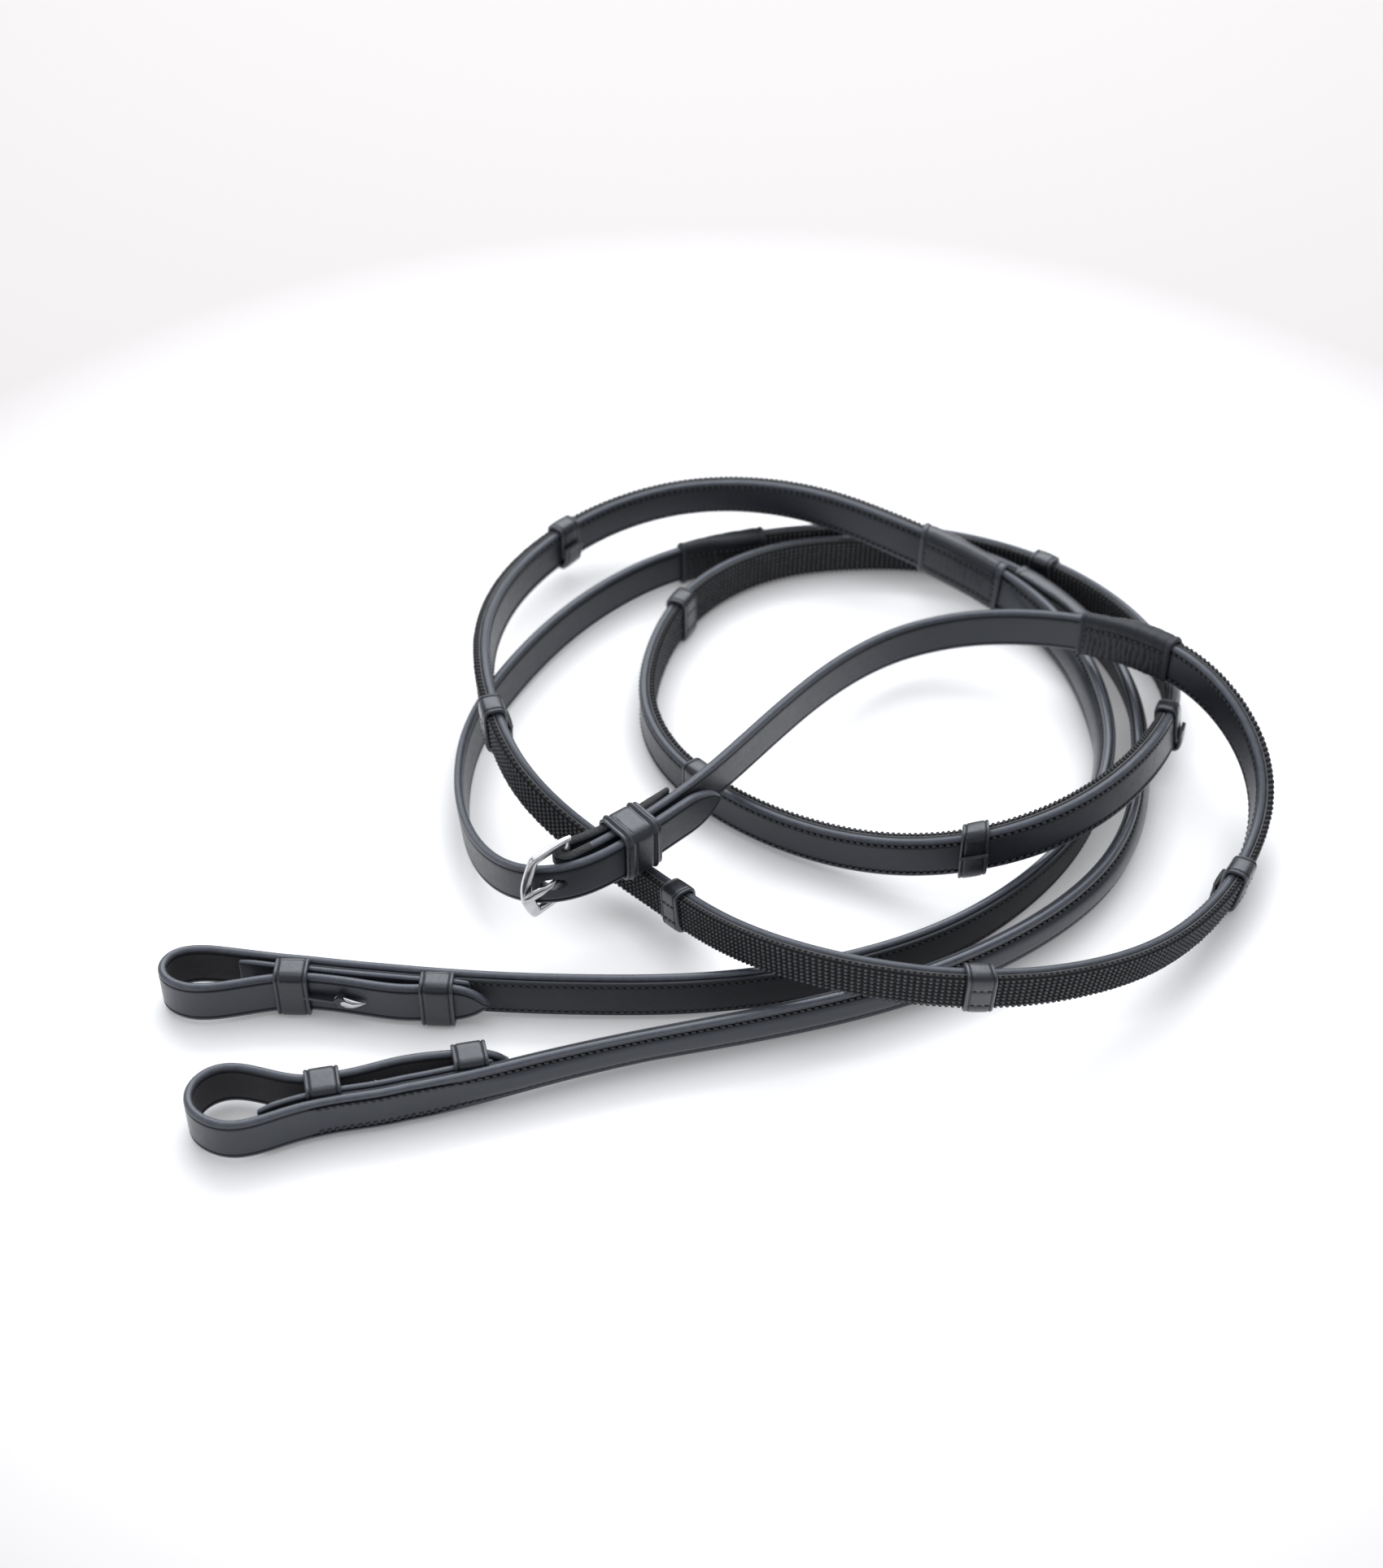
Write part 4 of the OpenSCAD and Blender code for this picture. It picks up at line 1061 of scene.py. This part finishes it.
def hand_stop(rein, number, u):
    """Band round leather and rubber, its end lapped over its start on the - face."""
    s = rein.full_s(u)
    w0, w1, t = STOP_MINUS, STOP_PLUS, STOP_T
    uneven = 0.25 * math.sin(3.1 * (number - 1) + rein.stop_phase)
    outline = [
        (w0, 4.6), (w0, 8.0), (w0, 12.5), (w0 - 0.05, W + 0.1), (w0 + 1.2, W + 0.65),
        (w1 - 1.3, W + 0.6), (w1, W - 0.1), (w1 + 0.05, 12.0), (w1 + 0.02, 8), (w1, 4), (w1, 0.3),
        (w1 - 1.2, -0.1), (w0 + 0.8, -0.12), (w0 - 0.5, 0.4), (w0 - t - 0.12, 3.2),
        (w0 - t - 0.2, 6.2), (w0 - t - 0.62, 9.1 + uneven)]
    tag = "%s%d" % (rein.key, number)
    obj = band("stop_%s_band" % tag, rein.full, s, 9.6, outline, t,
               crease_depth=0.26, belly=0.18, rounding=3, dents=stop_dents)
    repaint(obj, RAW, (-1, -2))
    attach(obj, "stop_" + tag)
    stitches = Stitches()
    for h in STOP_ROWS:
        stitches.row(rein.full, s - 3.5, s + 3.5, w1 + t + 0.02, h, 1,
                     pitch=2.2, size=(1.7, 0.6, 0.42), slant=0.1)
    stitches.row(rein.full, s - 3.5, s + 3.5, w0 - 2 * t - 0.25, 6.6, -1,
                 pitch=2.2, size=(1.7, 0.6, 0.4), slant=0.1)
    stitches.build("stop_stitching_" + tag)


for rein in REINS:
    for number, u in enumerate(rein.stops, 1):
        hand_stop(rein, number, u)


# ---------------------------------------------------------------- wraps
def sleeve(name, path, start, end, minus, plus, t, material, gather, seed, bead, rows):
    """Thin leather sleeve; minus(x) and plus(x) are its inside faces at x = 0 to 1 along it.

    gather is the depth of its wrinkles, bead the swelling of its rims, rows the thread heights.
    """
    n = int((end - start) / 0.42)
    X = np.linspace(0, 1, n)
    phase = np.random.default_rng(seed).random(6) * 6.28
    inside = []
    for x in X:
        a, b = minus(x), plus(x)
        outline = [(a, 1.2), (a, 5.5), (a, 10.5), (a, W - 1.0), (a + 0.7, W + 0.25),
                   (b - 0.8, W + 0.2), (b, W - 0.9), (b, 10.5), (b, 5.5), (b, 0.9),
                   (b - 0.8, -0.05), (a + 0.7, -0.05)]
        p = even_points(cut_corners(outline, 2, True), True, step=0.8)
        if inside and len(p) != len(inside[0]):
            p = even_points(p, True, count=len(inside[0]))
        inside.append(p)
    normals = np.array([outward(p, True) for p in inside])
    inside = np.array(inside)
    k = inside.shape[1]
    length = start + X * (end - start)
    s = length[:, None]
    h = inside[..., 1]
    angle = np.linspace(0, 2 * math.pi, k, endpoint=False)[None, :]

    # broad and fine wrinkles all round
    broad = (np.sin(s * 0.9 + 1.6 * np.sin(angle * 2 + phase[0]) + phase[1])
             + 0.6 * np.sin(s * 1.7 + 2.1 * np.sin(angle + phase[2]))
             + 0.5 * np.sin(s * 0.35 + angle * 3 + phase[3]))
    fine = (np.sin(s * 4.3 + 1.9 * np.sin(angle * 2 + phase[4]) + 0.8 * np.sin(s * 0.7 + phase[5]))
            * (0.5 + 0.5 * np.sin(angle * 3 + phase[1] + 0.35 * s)))
    # upright pleats on the faces below the upper thread row, away from the rims
    from_rim = np.minimum(X, 1 - X) * (end - start)
    on_face = clamp((W + 0.1 - h) / 0.8) * clamp((h + 0.1) / 0.8)
    pleated = on_face * clamp((11.9 - h) / 1.6) * clamp((from_rim - 2.6) / 1.5)[:, None]
    side = np.sin(angle + phase[2])
    pleats = np.abs(np.sin(s * 1.36 + 0.55 * np.sin(h * 0.42 + s * 0.31 + phase[0])
                           + 0.5 * np.sin(s * 0.47 + side + phase[1]) + 1.3 * (side > 0))) ** 0.8
    lift = (t + 0.35 * gather * broad + 0.25 * gather * fine
            + 2.1 * gather * (pleats - 0.62) * pleated)
    lift += (bead * bell(from_rim - 0.8, 0.6) - 0.25 * bell(from_rim - 2.3, 0.4))[:, None]
    # painted shade: pleat valleys get negative edge values, which the leather paints dark
    dark = -0.75 * gather / 0.17 * clamp((0.36 - pleats) / 0.36) * pleated
    # painted shade also in the trench of each thread row
    for row in rows:
        trench = bell(h - row, 0.55) * on_face * clamp((from_rim - 2.4) / 0.5)[:, None]
        lift = lift - 0.14 * trench
        dark = dark - 0.85 * trench
    outer = inside + normals * lift[..., None]
    outer = path.points(s, outer[..., 0], outer[..., 1])

    def ring(i, out, shift):
        p = inside[i] + normals[i] * out
        return path.points(np.full(k, length[i] + shift), p[:, 0], p[:, 1])

    # from inside round the first rim, over the outside, round the last rim and back inside
    rim = [(0.0, 0.3), (0.1, -0.1), (t * 0.55, -0.32), (t * 0.85, -0.25)]
    grid = [ring(0, out, shift) for out, shift in rim] + list(outer)
    grid += [ring(-1, out, -shift) for out, shift in rim[::-1]]
    grid += [ring(i, 0.0, 0) for i in range(n - 4, 3, -4)]
    grid = np.array(grid)
    edge = np.zeros(grid.shape[:2])
    edge[4:4 + n] = np.maximum(dark, -1.0)
    # the rims get the paler edge colour: wear and a painted highlight
    edge[:7] = 0.8
    edge[n + 1:n + 8] = 0.8
    return sweep(name, grid, material, edge, closed=True)


def wrap(rein, name, stations, minus, plus, row_inset, row_lift, rows, **look):
    """Stitched sleeve over one end of the grip."""
    path = rein.full
    start, end = (rein.full_s(u) for u in stations)
    obj = sleeve("%s_%s_sleeve" % (name, rein.key), path, start, end, minus, plus,
                 rows=rows, **look)
    attach(obj, "%s_%s" % (name, rein.key))
    stitches = Stitches()
    for s, x in ((start + 2.4, 0.06), (end - 2.4, 0.94)):
        stitches.column(path, s, plus(x) + 1.15, 2.2, W - 2.0, 1)
        stitches.column(path, s, minus(x) - 1.15, 2.2, W - 2.0, -1)
    for h in rows:
        for face, inside in ((-1, minus), (1, plus)):
            stitches.row(path, start + row_inset, end - row_inset,
                         lambda s: inside((s - start) / (end - start)) + face * row_lift,
                         h, face, pitch=2.4, size=(1.8, 0.9, 0.42), slant=0.2)
    stitches.build("%s_stitching_%s" % (name, rein.key))


def ease(x, middle):
    """S-curve from 0 to 1 about a middle."""
    return 1 / (1 + math.exp(-(x - middle) * 14))


def hand_wrap_plus(x):
    low = HAND_T / 2 + 0.25
    return low + (RUBBER_OUT + 0.05 - low) * ease(x, 0.42)


def bit_wrap_plus(x):
    return RUBBER_OUT + 0.05 - (RUBBER_OUT - 3.2) * ease(x, 0.55)


for rein in REINS:
    wrap(rein, "hand_wrap", rein.hand_wrap, lambda x: -HAND_T / 2 - 0.1, hand_wrap_plus,
         row_inset=3, row_lift=1.05, rows=(12.4,), t=1.15, material=WRAP, gather=0.17, bead=0.22,
         seed=rein.wrap_seeds[0])
    wrap(rein, "bit_wrap", rein.bit_wrap, lambda x: -GRIP_T / 2 - 0.15 - 0.25 * x, bit_wrap_plus,
         row_inset=3.2, row_lift=1.0, rows=(12.4, 3.0), t=1.1, material=BAND, gather=0.03,
         bead=0.1, seed=rein.wrap_seeds[1])

# ---------------------------------------------------------------- bit ends
LOOP_GROOVES = [(2.0, 0.2, 0.5)]
FLAP_TIP = 15.0  # length of the flap's point


def loop_section(height=W):
    return section(centred(BIT_T), centred(height, W / 2), 1.35, 17, 7, LOOP_GROOVES, LOOP_GROOVES)


def raised_section(rein, s):
    """Strap with its - face domed between its grooves."""
    height = (DOME + 0.1) * float(smoothstep((s - rein.bit_s(rein.bit_wrap[1])) / 22.0)
                                  * smoothstep((rein.join_s - s) / 34.0))
    minus = [(2.0 + min(1.0, height / 0.6), 0.34, 0.62)]
    plus = [(2.0, 0.0001, 0.5)]  # no visible groove: keeps the point count of the loop section
    return section(centred(BIT_T), (0, W), 1.35, 17, 7, minus, plus,
                   lambda x: height * (1 - min(1.0, abs(x) / 0.6) ** 2.4) ** 0.8)


def flesh_from(start):
    """Patch of rough flesh side on the + face (ring columns 32 to 56) from s = start on."""
    def choose(s, h):
        column = np.arange(h.shape[1])
        return (s >= start) & (column >= 32) & (column < 56)
    return FLESH, choose


def bit_strap(rein):
    """The rein from the grip into the loop, up to where the flap takes over."""
    loop_start = rein.loop_s(rein.lining_end)
    obj = strap("bit_strap_%s_hide" % rein.key, rein.bit, 0.0, rein.loop_s(rein.split),
                lambda s: raised_section(rein, s) if s < loop_start else loop_section(),
                RAISED, round_end=False, patch=flesh_from(loop_start))
    attach(obj, "bit_strap_" + rein.key)


def flap(rein):
    """From the turn of the loop to its point."""
    path, tip = rein.bit, rein.loop_s(LOOP_TIP)
    obj = strap("flap_%s_leather" % rein.key, path, rein.loop_s(rein.split), tip,
                lambda s: loop_section(point_height((tip - s) / FLAP_TIP, 0.6, 2.1, 0.72)),
                RAISED, step=1.3, round_start=False,
                extra=np.linspace(tip - FLAP_TIP, tip, 26), patch=flesh_from(0.0))
    # keyhole slit for the stud: a round hole with a narrow tail back along the flap
    s = rein.loop_s(rein.stud)
    _, along, normal, _ = path.frame(s)
    r = 2.3
    mouth = math.asin(0.75 / r)
    tail_x = -r * math.cos(mouth) + 0.2
    keyhole = [(-14.0, -0.35), (tail_x, -0.45)]
    keyhole += [(-r * math.cos(a), -r * math.sin(a))
                for a in np.linspace(mouth, 2 * math.pi - mouth, 22)]
    keyhole += [(tail_x, 0.45), (-14.0, 0.35)]
    cut_prism(obj, "slit", keyhole, path.middle(s), along, (0, 0, 1.0), normal, 4)
    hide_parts("flap_" + rein.key)
    bend_start = path.middle(rein.loop_s(rein.split + 0.2))
    bend_end = path.middle(rein.loop_s(rein.keepers[0]))
    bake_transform(obj)


def filler(rein):
    """Cord under the raised leather, tapered at both ends."""
    start, end = rein.bit_s(rein.grip[1] + 1.85), rein.join_s - 76
    angles = np.linspace(0, 2 * math.pi, 10, endpoint=False)

    def cord(s):
        e = min(1, (s - start) / 14 + 0.05, (end - s) / 14 + 0.05)
        w = -BIT_T / 2 + 0.75 * e + 0.45 * e * np.cos(angles) - 0.2
        return np.stack([w, W / 2 + 2.6 * e * np.sin(angles)], 1), np.zeros(10)

    obj = strap("bit_filler_%s_cord" % rein.key, rein.bit, start, end, cord,
                CORD, step=3.0, round_start=False, round_end=False)
    attach(obj, "bit_filler_" + rein.key)


def lining(rein):
    """Thinner leather on the + face, pared toward the loop."""
    end = rein.loop_s(rein.lining_end)
    inner = BIT_T / 2 + 0.06

    def lining_section(s):
        pared = float(np.clip((end - s) / 6.0, 0.25, 1))
        return section((inner, inner + LINING_T * pared), (0.25, W - 1.1), 0.6, 13, 5,
                       plus=[(1.7, 0.22, 0.42)])

    obj = strap("bit_lining_%s_hide" % rein.key, rein.bit, 2.0, end, lining_section, LINING)
    attach(obj, "bit_lining_" + rein.key)


def bit_stitching(rein):
    stitches = Stitches()
    start = rein.bit_s(rein.bit_wrap[1]) + 1.0
    end = rein.loop_s(rein.lining_end)
    for h in (3.0, W - 3.0):
        stitches.row(rein.bit, start, end - 2.5, -BIT_T / 2 - 0.14, h, -1,
                     pitch=2.4, size=(1.85, 0.95, 0.44), slant=opposed(h, 0.34))
    for h in (1.95, W - 2.8):
        stitches.row(rein.bit, start, end - 3.0, BIT_T / 2 + LINING_T, h, 1,
                     pitch=2.4, size=(1.8, 0.85, 0.4), slant=opposed(h, 0.3))
    stitches.build("bit_stitching_%s" % rein.key)


def safe(rein):
    """Short leather piece over the lining, slimmer toward both ends."""
    start = rein.join_s - rein.safe_before_join
    end = rein.loop_s(rein.safe_end) - rein.safe_trim
    inner = BIT_T / 2 + 2 * CLEARANCE + LINING_T - 0.1

    def safe_section(s):
        e = float(clamp(min((s - start) / 5.0, (end - s) / 5.0)))
        height = 15.5 * (0.86 + 0.14 * e ** 0.6)
        thickness = (SAFE_T + 0.45) * (0.7 + 0.3 * e)
        return section((inner, inner + thickness), centred(height, W / 2), 0.9, 9, 5)

    obj = strap("safe_%s_leather" % rein.key, rein.bit, start, end, safe_section, RAISED, step=1.3)
    attach(obj, "safe_" + rein.key)


for rein in REINS:
    for build in (bit_strap, flap, filler, lining, bit_stitching, safe):
        build(rein)


# ---------------------------------------------------------------- keepers at the bit ends
def keeper(rein, name, v):
    """Open band from the rein's line over to the flap and round it."""
    path = rein.bit
    s = rein.loop_s(v)
    i, gap = rein.facing(path.middle(s, W))
    direction = unit(path.at([s])[1][0] - path.at([path.s[i]])[1][0])
    line = straight(path.line[i], direction, 20, 1.5, -rein.side)
    far = gap + BIT_T / 2 + 0.62
    outline = [
        (2.95, W - 0.75), (2.95, W - 0.2), (3.2, W + 0.3), (gap / 2 + 2, W + 0.32),
        (far - 1.1, W + 0.32), (far - 0.1, W - 0.3), (far, W - 1.6), (far, 11), (far, 5),
        (far, 0.9), (far - 0.8, -0.1), (gap / 2 + 2, -0.1), (3.5, -0.1)]
    obj = band("keeper_%s_%s_band" % (rein.key, name), line, 20.0, 11.0, outline, 1.25,
               crease_depth=0.3, belly=0.1, rounding=2)
    attach(obj, "keeper_%s_%s" % (rein.key, name))


for rein in REINS:
    for name, v in zip(("inner", "outer"), rein.keepers):
        keeper(rein, name, v)

# ---------------------------------------------------------------- hook studs
CIRCLE = np.linspace(0, 2 * math.pi, 24, endpoint=False)


def stud_head_half(x):
    """Half height of the teardrop head at x along the flap."""
    if x < -0.1:
        half = 2.45 * max(0.0, 1 - ((x + 0.1) / 2.1) ** 2) ** 0.5
    else:
        half = 2.45 * (1 - ((x + 0.1) / 8.9) ** 1.9) ** 0.95
    return max(half, 0.12)


def hook_stud(rein):
    path = rein.bit
    s = rein.loop_s(rein.stud)
    _, along, normal, _ = path.frame(s)
    out = -normal * rein.side
    up = np.array([0, 0, 1.0])
    centre = path.middle(s)
    gap = rein.facing(centre)[1]
    base = gap - BIT_T / 2 - 2 * CLEARANCE - LINING_T - SAFE_T - 0.25

    # post: radius, distance out from the middle of the flap
    post = [(0.3, -base - 0.02), (3.2, -base), (3.45, -base + 0.15), (3.4, -base + 0.35),
            (2.4, -base + 0.5), (1.35, -base + 0.75), (1.2, 0.0), (1.2, 1.5), (1.3, 1.7),
            (0.4, 1.75)]
    rows = [[centre + along * (r * math.cos(a)) + up * (r * math.sin(a)) + out * d for a in CIRCLE]
            for r, d in post]
    attach(sweep("hook_stud_%s_post" % rein.key, np.array(rows), STEEL))

    # teardrop head lying along the flap
    rows = []
    for x in np.r_[np.linspace(-2.15, -1.2, 6), np.linspace(-0.6, 7.6, 14), 8.1, 8.5, 8.7]:
        half = stud_head_half(x)
        thick = min(1.45, half * 0.82)
        mid = (BIT_T / 2 + 0.5 + 0.85 + 0.35 * math.sin(max(0, x) / 8.7 * math.pi)
               - 0.25 * max(0, x - 6) / 2.7)
        sag = -0.28 * math.sin((x + 2.2) / 10.95 * math.pi)
        rows.append([centre + along * (x - 0.35) + up * (half * a * 0.95 + sag)
                     + out * (mid + thick * 0.82 * b) for a, b in zip(*superellipse(CIRCLE, 2.2))])
    attach(sweep("hook_stud_%s_head" % rein.key, np.array(rows), STEEL),
           "hook_stud_" + rein.key)


for rein in REINS:
    hook_stud(rein)


# ---------------------------------------------------------------- buckle
def buckle_frame():
    """Bow that starts and ends at the bar and narrows to the far limb."""
    # outer x, inner x, outer half height, inner half height
    half_bow = [
        (-1.8, 0.9, 11.8, 9.1), (2.0, 2.0, 12.9, 10.0), (LIMB - 4.6, LIMB - 5.4, 13.2, 10.2),
        (LIMB - 2.9, LIMB - 5.2, 13.1, 10.0), (LIMB - 2.0, LIMB - 4.9, 12.2, 9.4),
        (LIMB + 0.2, LIMB - 3.8, 7.2, 6.1), (LIMB + 1.5, LIMB - 3.0, 2.8, 2.6)]
    outer = [(a, -c) for a, b, c, d in half_bow] + [(a, c) for a, b, c, d in half_bow[::-1]]
    inner = [(b, -d) for a, b, c, d in half_bow] + [(b, d) for a, b, c, d in half_bow[::-1]]
    outer, inner = cut_corners(outer, 2, False), cut_corners(inner, 2, False)
    run = arc_lengths(outer)
    stations = np.linspace(0, run[-1], 90)
    rows = []
    for a, b in zip(lookup(stations, run, outer), lookup(stations, run, inner)):
        mid, half = (a + b) / 2, (a - b) / 2
        ring = []
        for c, d in zip(*superellipse(CIRCLE, 2.7)):
            x, z = mid + half * c
            y = d * (FRAME_T + 0.05) / 2 * (1.0 if d > 0 else 0.95)
            ring.append(bar_point(x, y, z - x * math.tan(DROOP)))
        rows.append(ring)
    attach(sweep("buckle_frame_bow", np.array(rows), STEEL),
           "buckle_frame", "buckle")


def buckle_bar():
    end, r = FRAME_H / 2, BAR_D / 2
    profile = [(-end + 1.6, 0.4), (-end + 1.6, 1.2), (-end + 2.0, r), (-4, r), (4, r),
               (end - 2.0, r), (end - 1.6, 1.2), (end - 1.6, 0.4)]
    rows = [[bar_point(r * math.cos(a), r * math.sin(a), z) for a in CIRCLE] for z, r in profile]
    attach(sweep("buckle_bar", np.array(rows), STEEL), body="buckle")


def buckle_tongue():
    """Prong rising from the bar through the strap to a teardrop end on the frame."""
    c, s = math.cos(DROOP), math.sin(DROOP)
    xs = np.r_[1.9, 3.0, np.linspace(4, LIMB - 3, 16), np.linspace(LIMB - 2.6, LIMB + 1.4, 8),
               LIMB + 1.9, LIMB + 2.3, LIMB + 2.5]
    rows = []
    for x in xs:
        y = np.interp(x, TONGUE_X, TONGUE_Y)
        height = np.interp(
            x, [1.9, 4, LIMB - 6, LIMB - 4, LIMB - 1.5, LIMB + 0.6, LIMB + 1.8, LIMB + 2.5],
            [1.3, 1.1, 1.15, 1.9, 2.1, 1.6, 0.9, 0.1])
        thick = np.interp(x, [1.9, 4, LIMB - 6, LIMB - 3, LIMB + 0.4, LIMB + 1.8, LIMB + 2.5],
                          [1.05, 0.85, 0.85, 0.9, 0.85, 0.6, 0.1])
        ring = []
        for a, b in zip(*superellipse(CIRCLE, 2.3)):
            z = height * a
            ring.append(bar_point(x * c + z * s, y + thick * b, -x * s + z * c))
        rows.append(ring)
    attach(sweep("buckle_tongue_prong", np.array(rows), STEEL),
           "buckle_tongue", "tongue")


def tongue_eye():
    """Collar of the tongue round the bar: radius, height."""
    profile = [(1.56, -1.7), (1.75, -1.95), (2.45, -1.95), (2.68, -1.7), (2.7, 0), (2.68, 1.7),
               (2.45, 1.95), (1.75, 1.95), (1.56, 1.7), (1.55, 0)]
    rows = [[bar_point(r * math.cos(a), r * math.sin(a), z) for r, z in profile]
            for a in np.linspace(0, 2 * math.pi, 28, endpoint=False)]
    obj = sweep("buckle_tongue_eye", np.array(rows), STEEL, closed=True)
    attach(obj, body="tongue")


def buckle_keeper():
    """Wide closed keeper beside the buckle, with a raised ridge near each rim."""
    values, level, _, _ = A.full.frame(A.full_s(0.78))
    line = straight(values, level, 25, values[2])
    w0, w1, h0, h1 = -7.4, 6.35, -0.95, W + 0.55
    t, half, ridge = 1.2, 7.3, 5.0
    outline = [(w0, h0 + 1.3), (w0, 5), (w0, 11), (w0, h1 - 1.6), (w0 + 1.6, h1), (0, h1 - 0.3),
               (w1 - 1.6, h1), (w1, h1 - 1.4), (w1, 11), (w1, 5), (w1, h0 + 1.3), (w1 - 1.6, h0),
               (0, h0), (w0 + 1.6, h0)]
    outline = even_points(cut_corners(outline, 2, True), True, step=0.6)
    x = np.r_[-half, -half + 0.05, -half + 0.25, np.linspace(-half + 0.6, half - 0.6, 44),
              half - 0.25, half - 0.05, half]
    lift = t * np.r_[0.15, 0.65, 0.92, np.ones(44), 0.92, 0.65, 0.15]
    ridges = 0
    for sign in (-1, 1):
        d = (x - sign * ridge) * sign  # distance from the ridge toward the rim
        ridges = ridges + 0.62 * bell(d, 0.62) - 0.22 * bell(d - 1.35, 0.4)
        ridges = ridges - 0.26 * bell(d + 1.35, 0.4)
    lift = lift + np.where(np.abs(x) < half - 0.3, ridges, 0)
    # rims and ridges get the paler edge colour: wear and a painted highlight
    edge = (np.abs(x) > half - 0.6) * 1.0 + 0.7 * bell(np.abs(x) - ridge, 0.5)
    across = np.r_[x, half - 0.2, 0, -half + 0.2]
    grid, _ = wrap_round(line, 25.0, outline, True, across, np.r_[lift, 0, 0, 0])
    obj = sweep("buckle_keeper_band", grid, BAND, clamp(np.r_[edge, 0, 0, 0]), closed=True)
    attach(obj, "buckle_keeper")


buckle_frame()
buckle_bar()
buckle_tongue()
tongue_eye()
buckle_keeper()


# ---------------------------------------------------------------- floor, light, camera (metres)
def floor_material():
    """Pale floor with painted light: it glows a little though it is no lamp, is painted brighter
    round the middle than further out, and has a painted contact shadow where pieces touch it.
    """
    sh = Shader("studio_floor")
    # painted pool of light: colour and glow are brighter within 0.22 m of the middle and greyer
    # beyond 0.42 m
    distance = sh.fill(sh.node("VectorMath", operation="LENGTH"), {0: sh.place})
    far = sh.ramp(distance.outputs["Value"], span=(0.22, 0.42))
    colour = sh.mix(sh.ramp(sh.noise(scale=3.0, detail=2), span=(0.3, 0.7)),
                    (0.80, 0.803, 0.815), (0.82, 0.822, 0.832))
    # painted contact shadow: an ambient occlusion term darkens the floor colour and its glow near
    # the pieces
    occlusion = sh.fill(sh.node("AmbientOcclusion", samples=8), {"Distance": 0.015})
    clear = sh.ramp(occlusion.outputs["AO"], span=(0.25, 1.0))
    colour = sh.mix(clear, (0.34, 0.342, 0.352), colour)
    sh.set("Base Color", sh.mix(far, colour, (0.414, 0.393, 0.387)))
    sh.set("Roughness", 0.6)
    sh.set("Specular IOR Level", 0.2)
    # painted light: the floor glows though it is no lamp, to lift its shadows; the glow is dimmer
    # under the pieces and further out
    glow = sh.mix(clear, (0.55, 0.55, 0.56), (1.0, 1.0, 1.0))
    sh.set("Emission Color", sh.mix(far, glow, (0.77, 0.753, 0.76)))
    sh.set("Emission Strength", 0.33)
    return sh.material


def build_floor():
    mesh = bpy.data.meshes.new("floor")
    mesh.from_pydata([(-4, -4, 0), (4, -4, 0), (4, 4, 0), (-4, 4, 0)], [], [(0, 1, 2, 3)])
    floor = link_object("floor", mesh)
    floor.location = (0, 0, -0.0002)
    mesh.materials.append(floor_material())


def build_world():
    world = bpy.data.worlds.new("studio")
    bpy.context.scene.world = world
    world.use_nodes = True
    background = world.node_tree.nodes["Background"]
    background.inputs["Color"].default_value = (0.93, 0.955, 1.0, 1)
    background.inputs["Strength"].default_value = 0.62


def area_light(name, location, size, power, colour=(1, 1, 1)):
    """Rectangular light aimed at the origin."""
    light = bpy.data.lights.new(name, "AREA")
    light.shape = "RECTANGLE"
    light.size, light.size_y = size
    light.energy = power
    light.color = colour
    obj = link_object(name, light)
    obj.location = location
    aim = Vector((0, 0, 0)) - Vector(location)
    obj.rotation_euler = aim.to_track_quat("-Z", "Y").to_euler()


def build_camera():
    camera = bpy.data.cameras.new("camera")
    camera.sensor_fit = "AUTO"
    camera.sensor_width = 36.0
    camera.lens = 56.02
    camera.clip_start = 0.01
    obj = link_object("camera", camera)
    obj.location = (-0.0145, -0.6453, 0.5905)
    obj.rotation_euler = (math.radians(90 - 41.88), 0, 0)
    focus = link_object("focus_point", None)
    focus.location = (-0.07, -0.098, 0.012)
    camera.dof.use_dof = True
    camera.dof.focus_object = focus
    camera.dof.aperture_fstop = 8.5
    bpy.context.scene.camera = obj


build_floor()
build_world()
area_light("key_softbox", location=(0.0, 1.05, 1.05), size=(1.8, 0.85), power=21.0,
           colour=(0.95, 0.975, 1.0))
area_light("top_softbox", location=(0.1, 0.1, 1.6), size=(1.3, 1.3), power=7.0)
area_light("side_fill", location=(-1.4, -0.5, 0.8), size=(0.9, 0.9), power=2.2,
           colour=(0.96, 0.98, 1.0))
build_camera()
bpy.context.scene.view_settings.view_transform = "Standard"
bpy.context.scene.view_settings.look = "None"
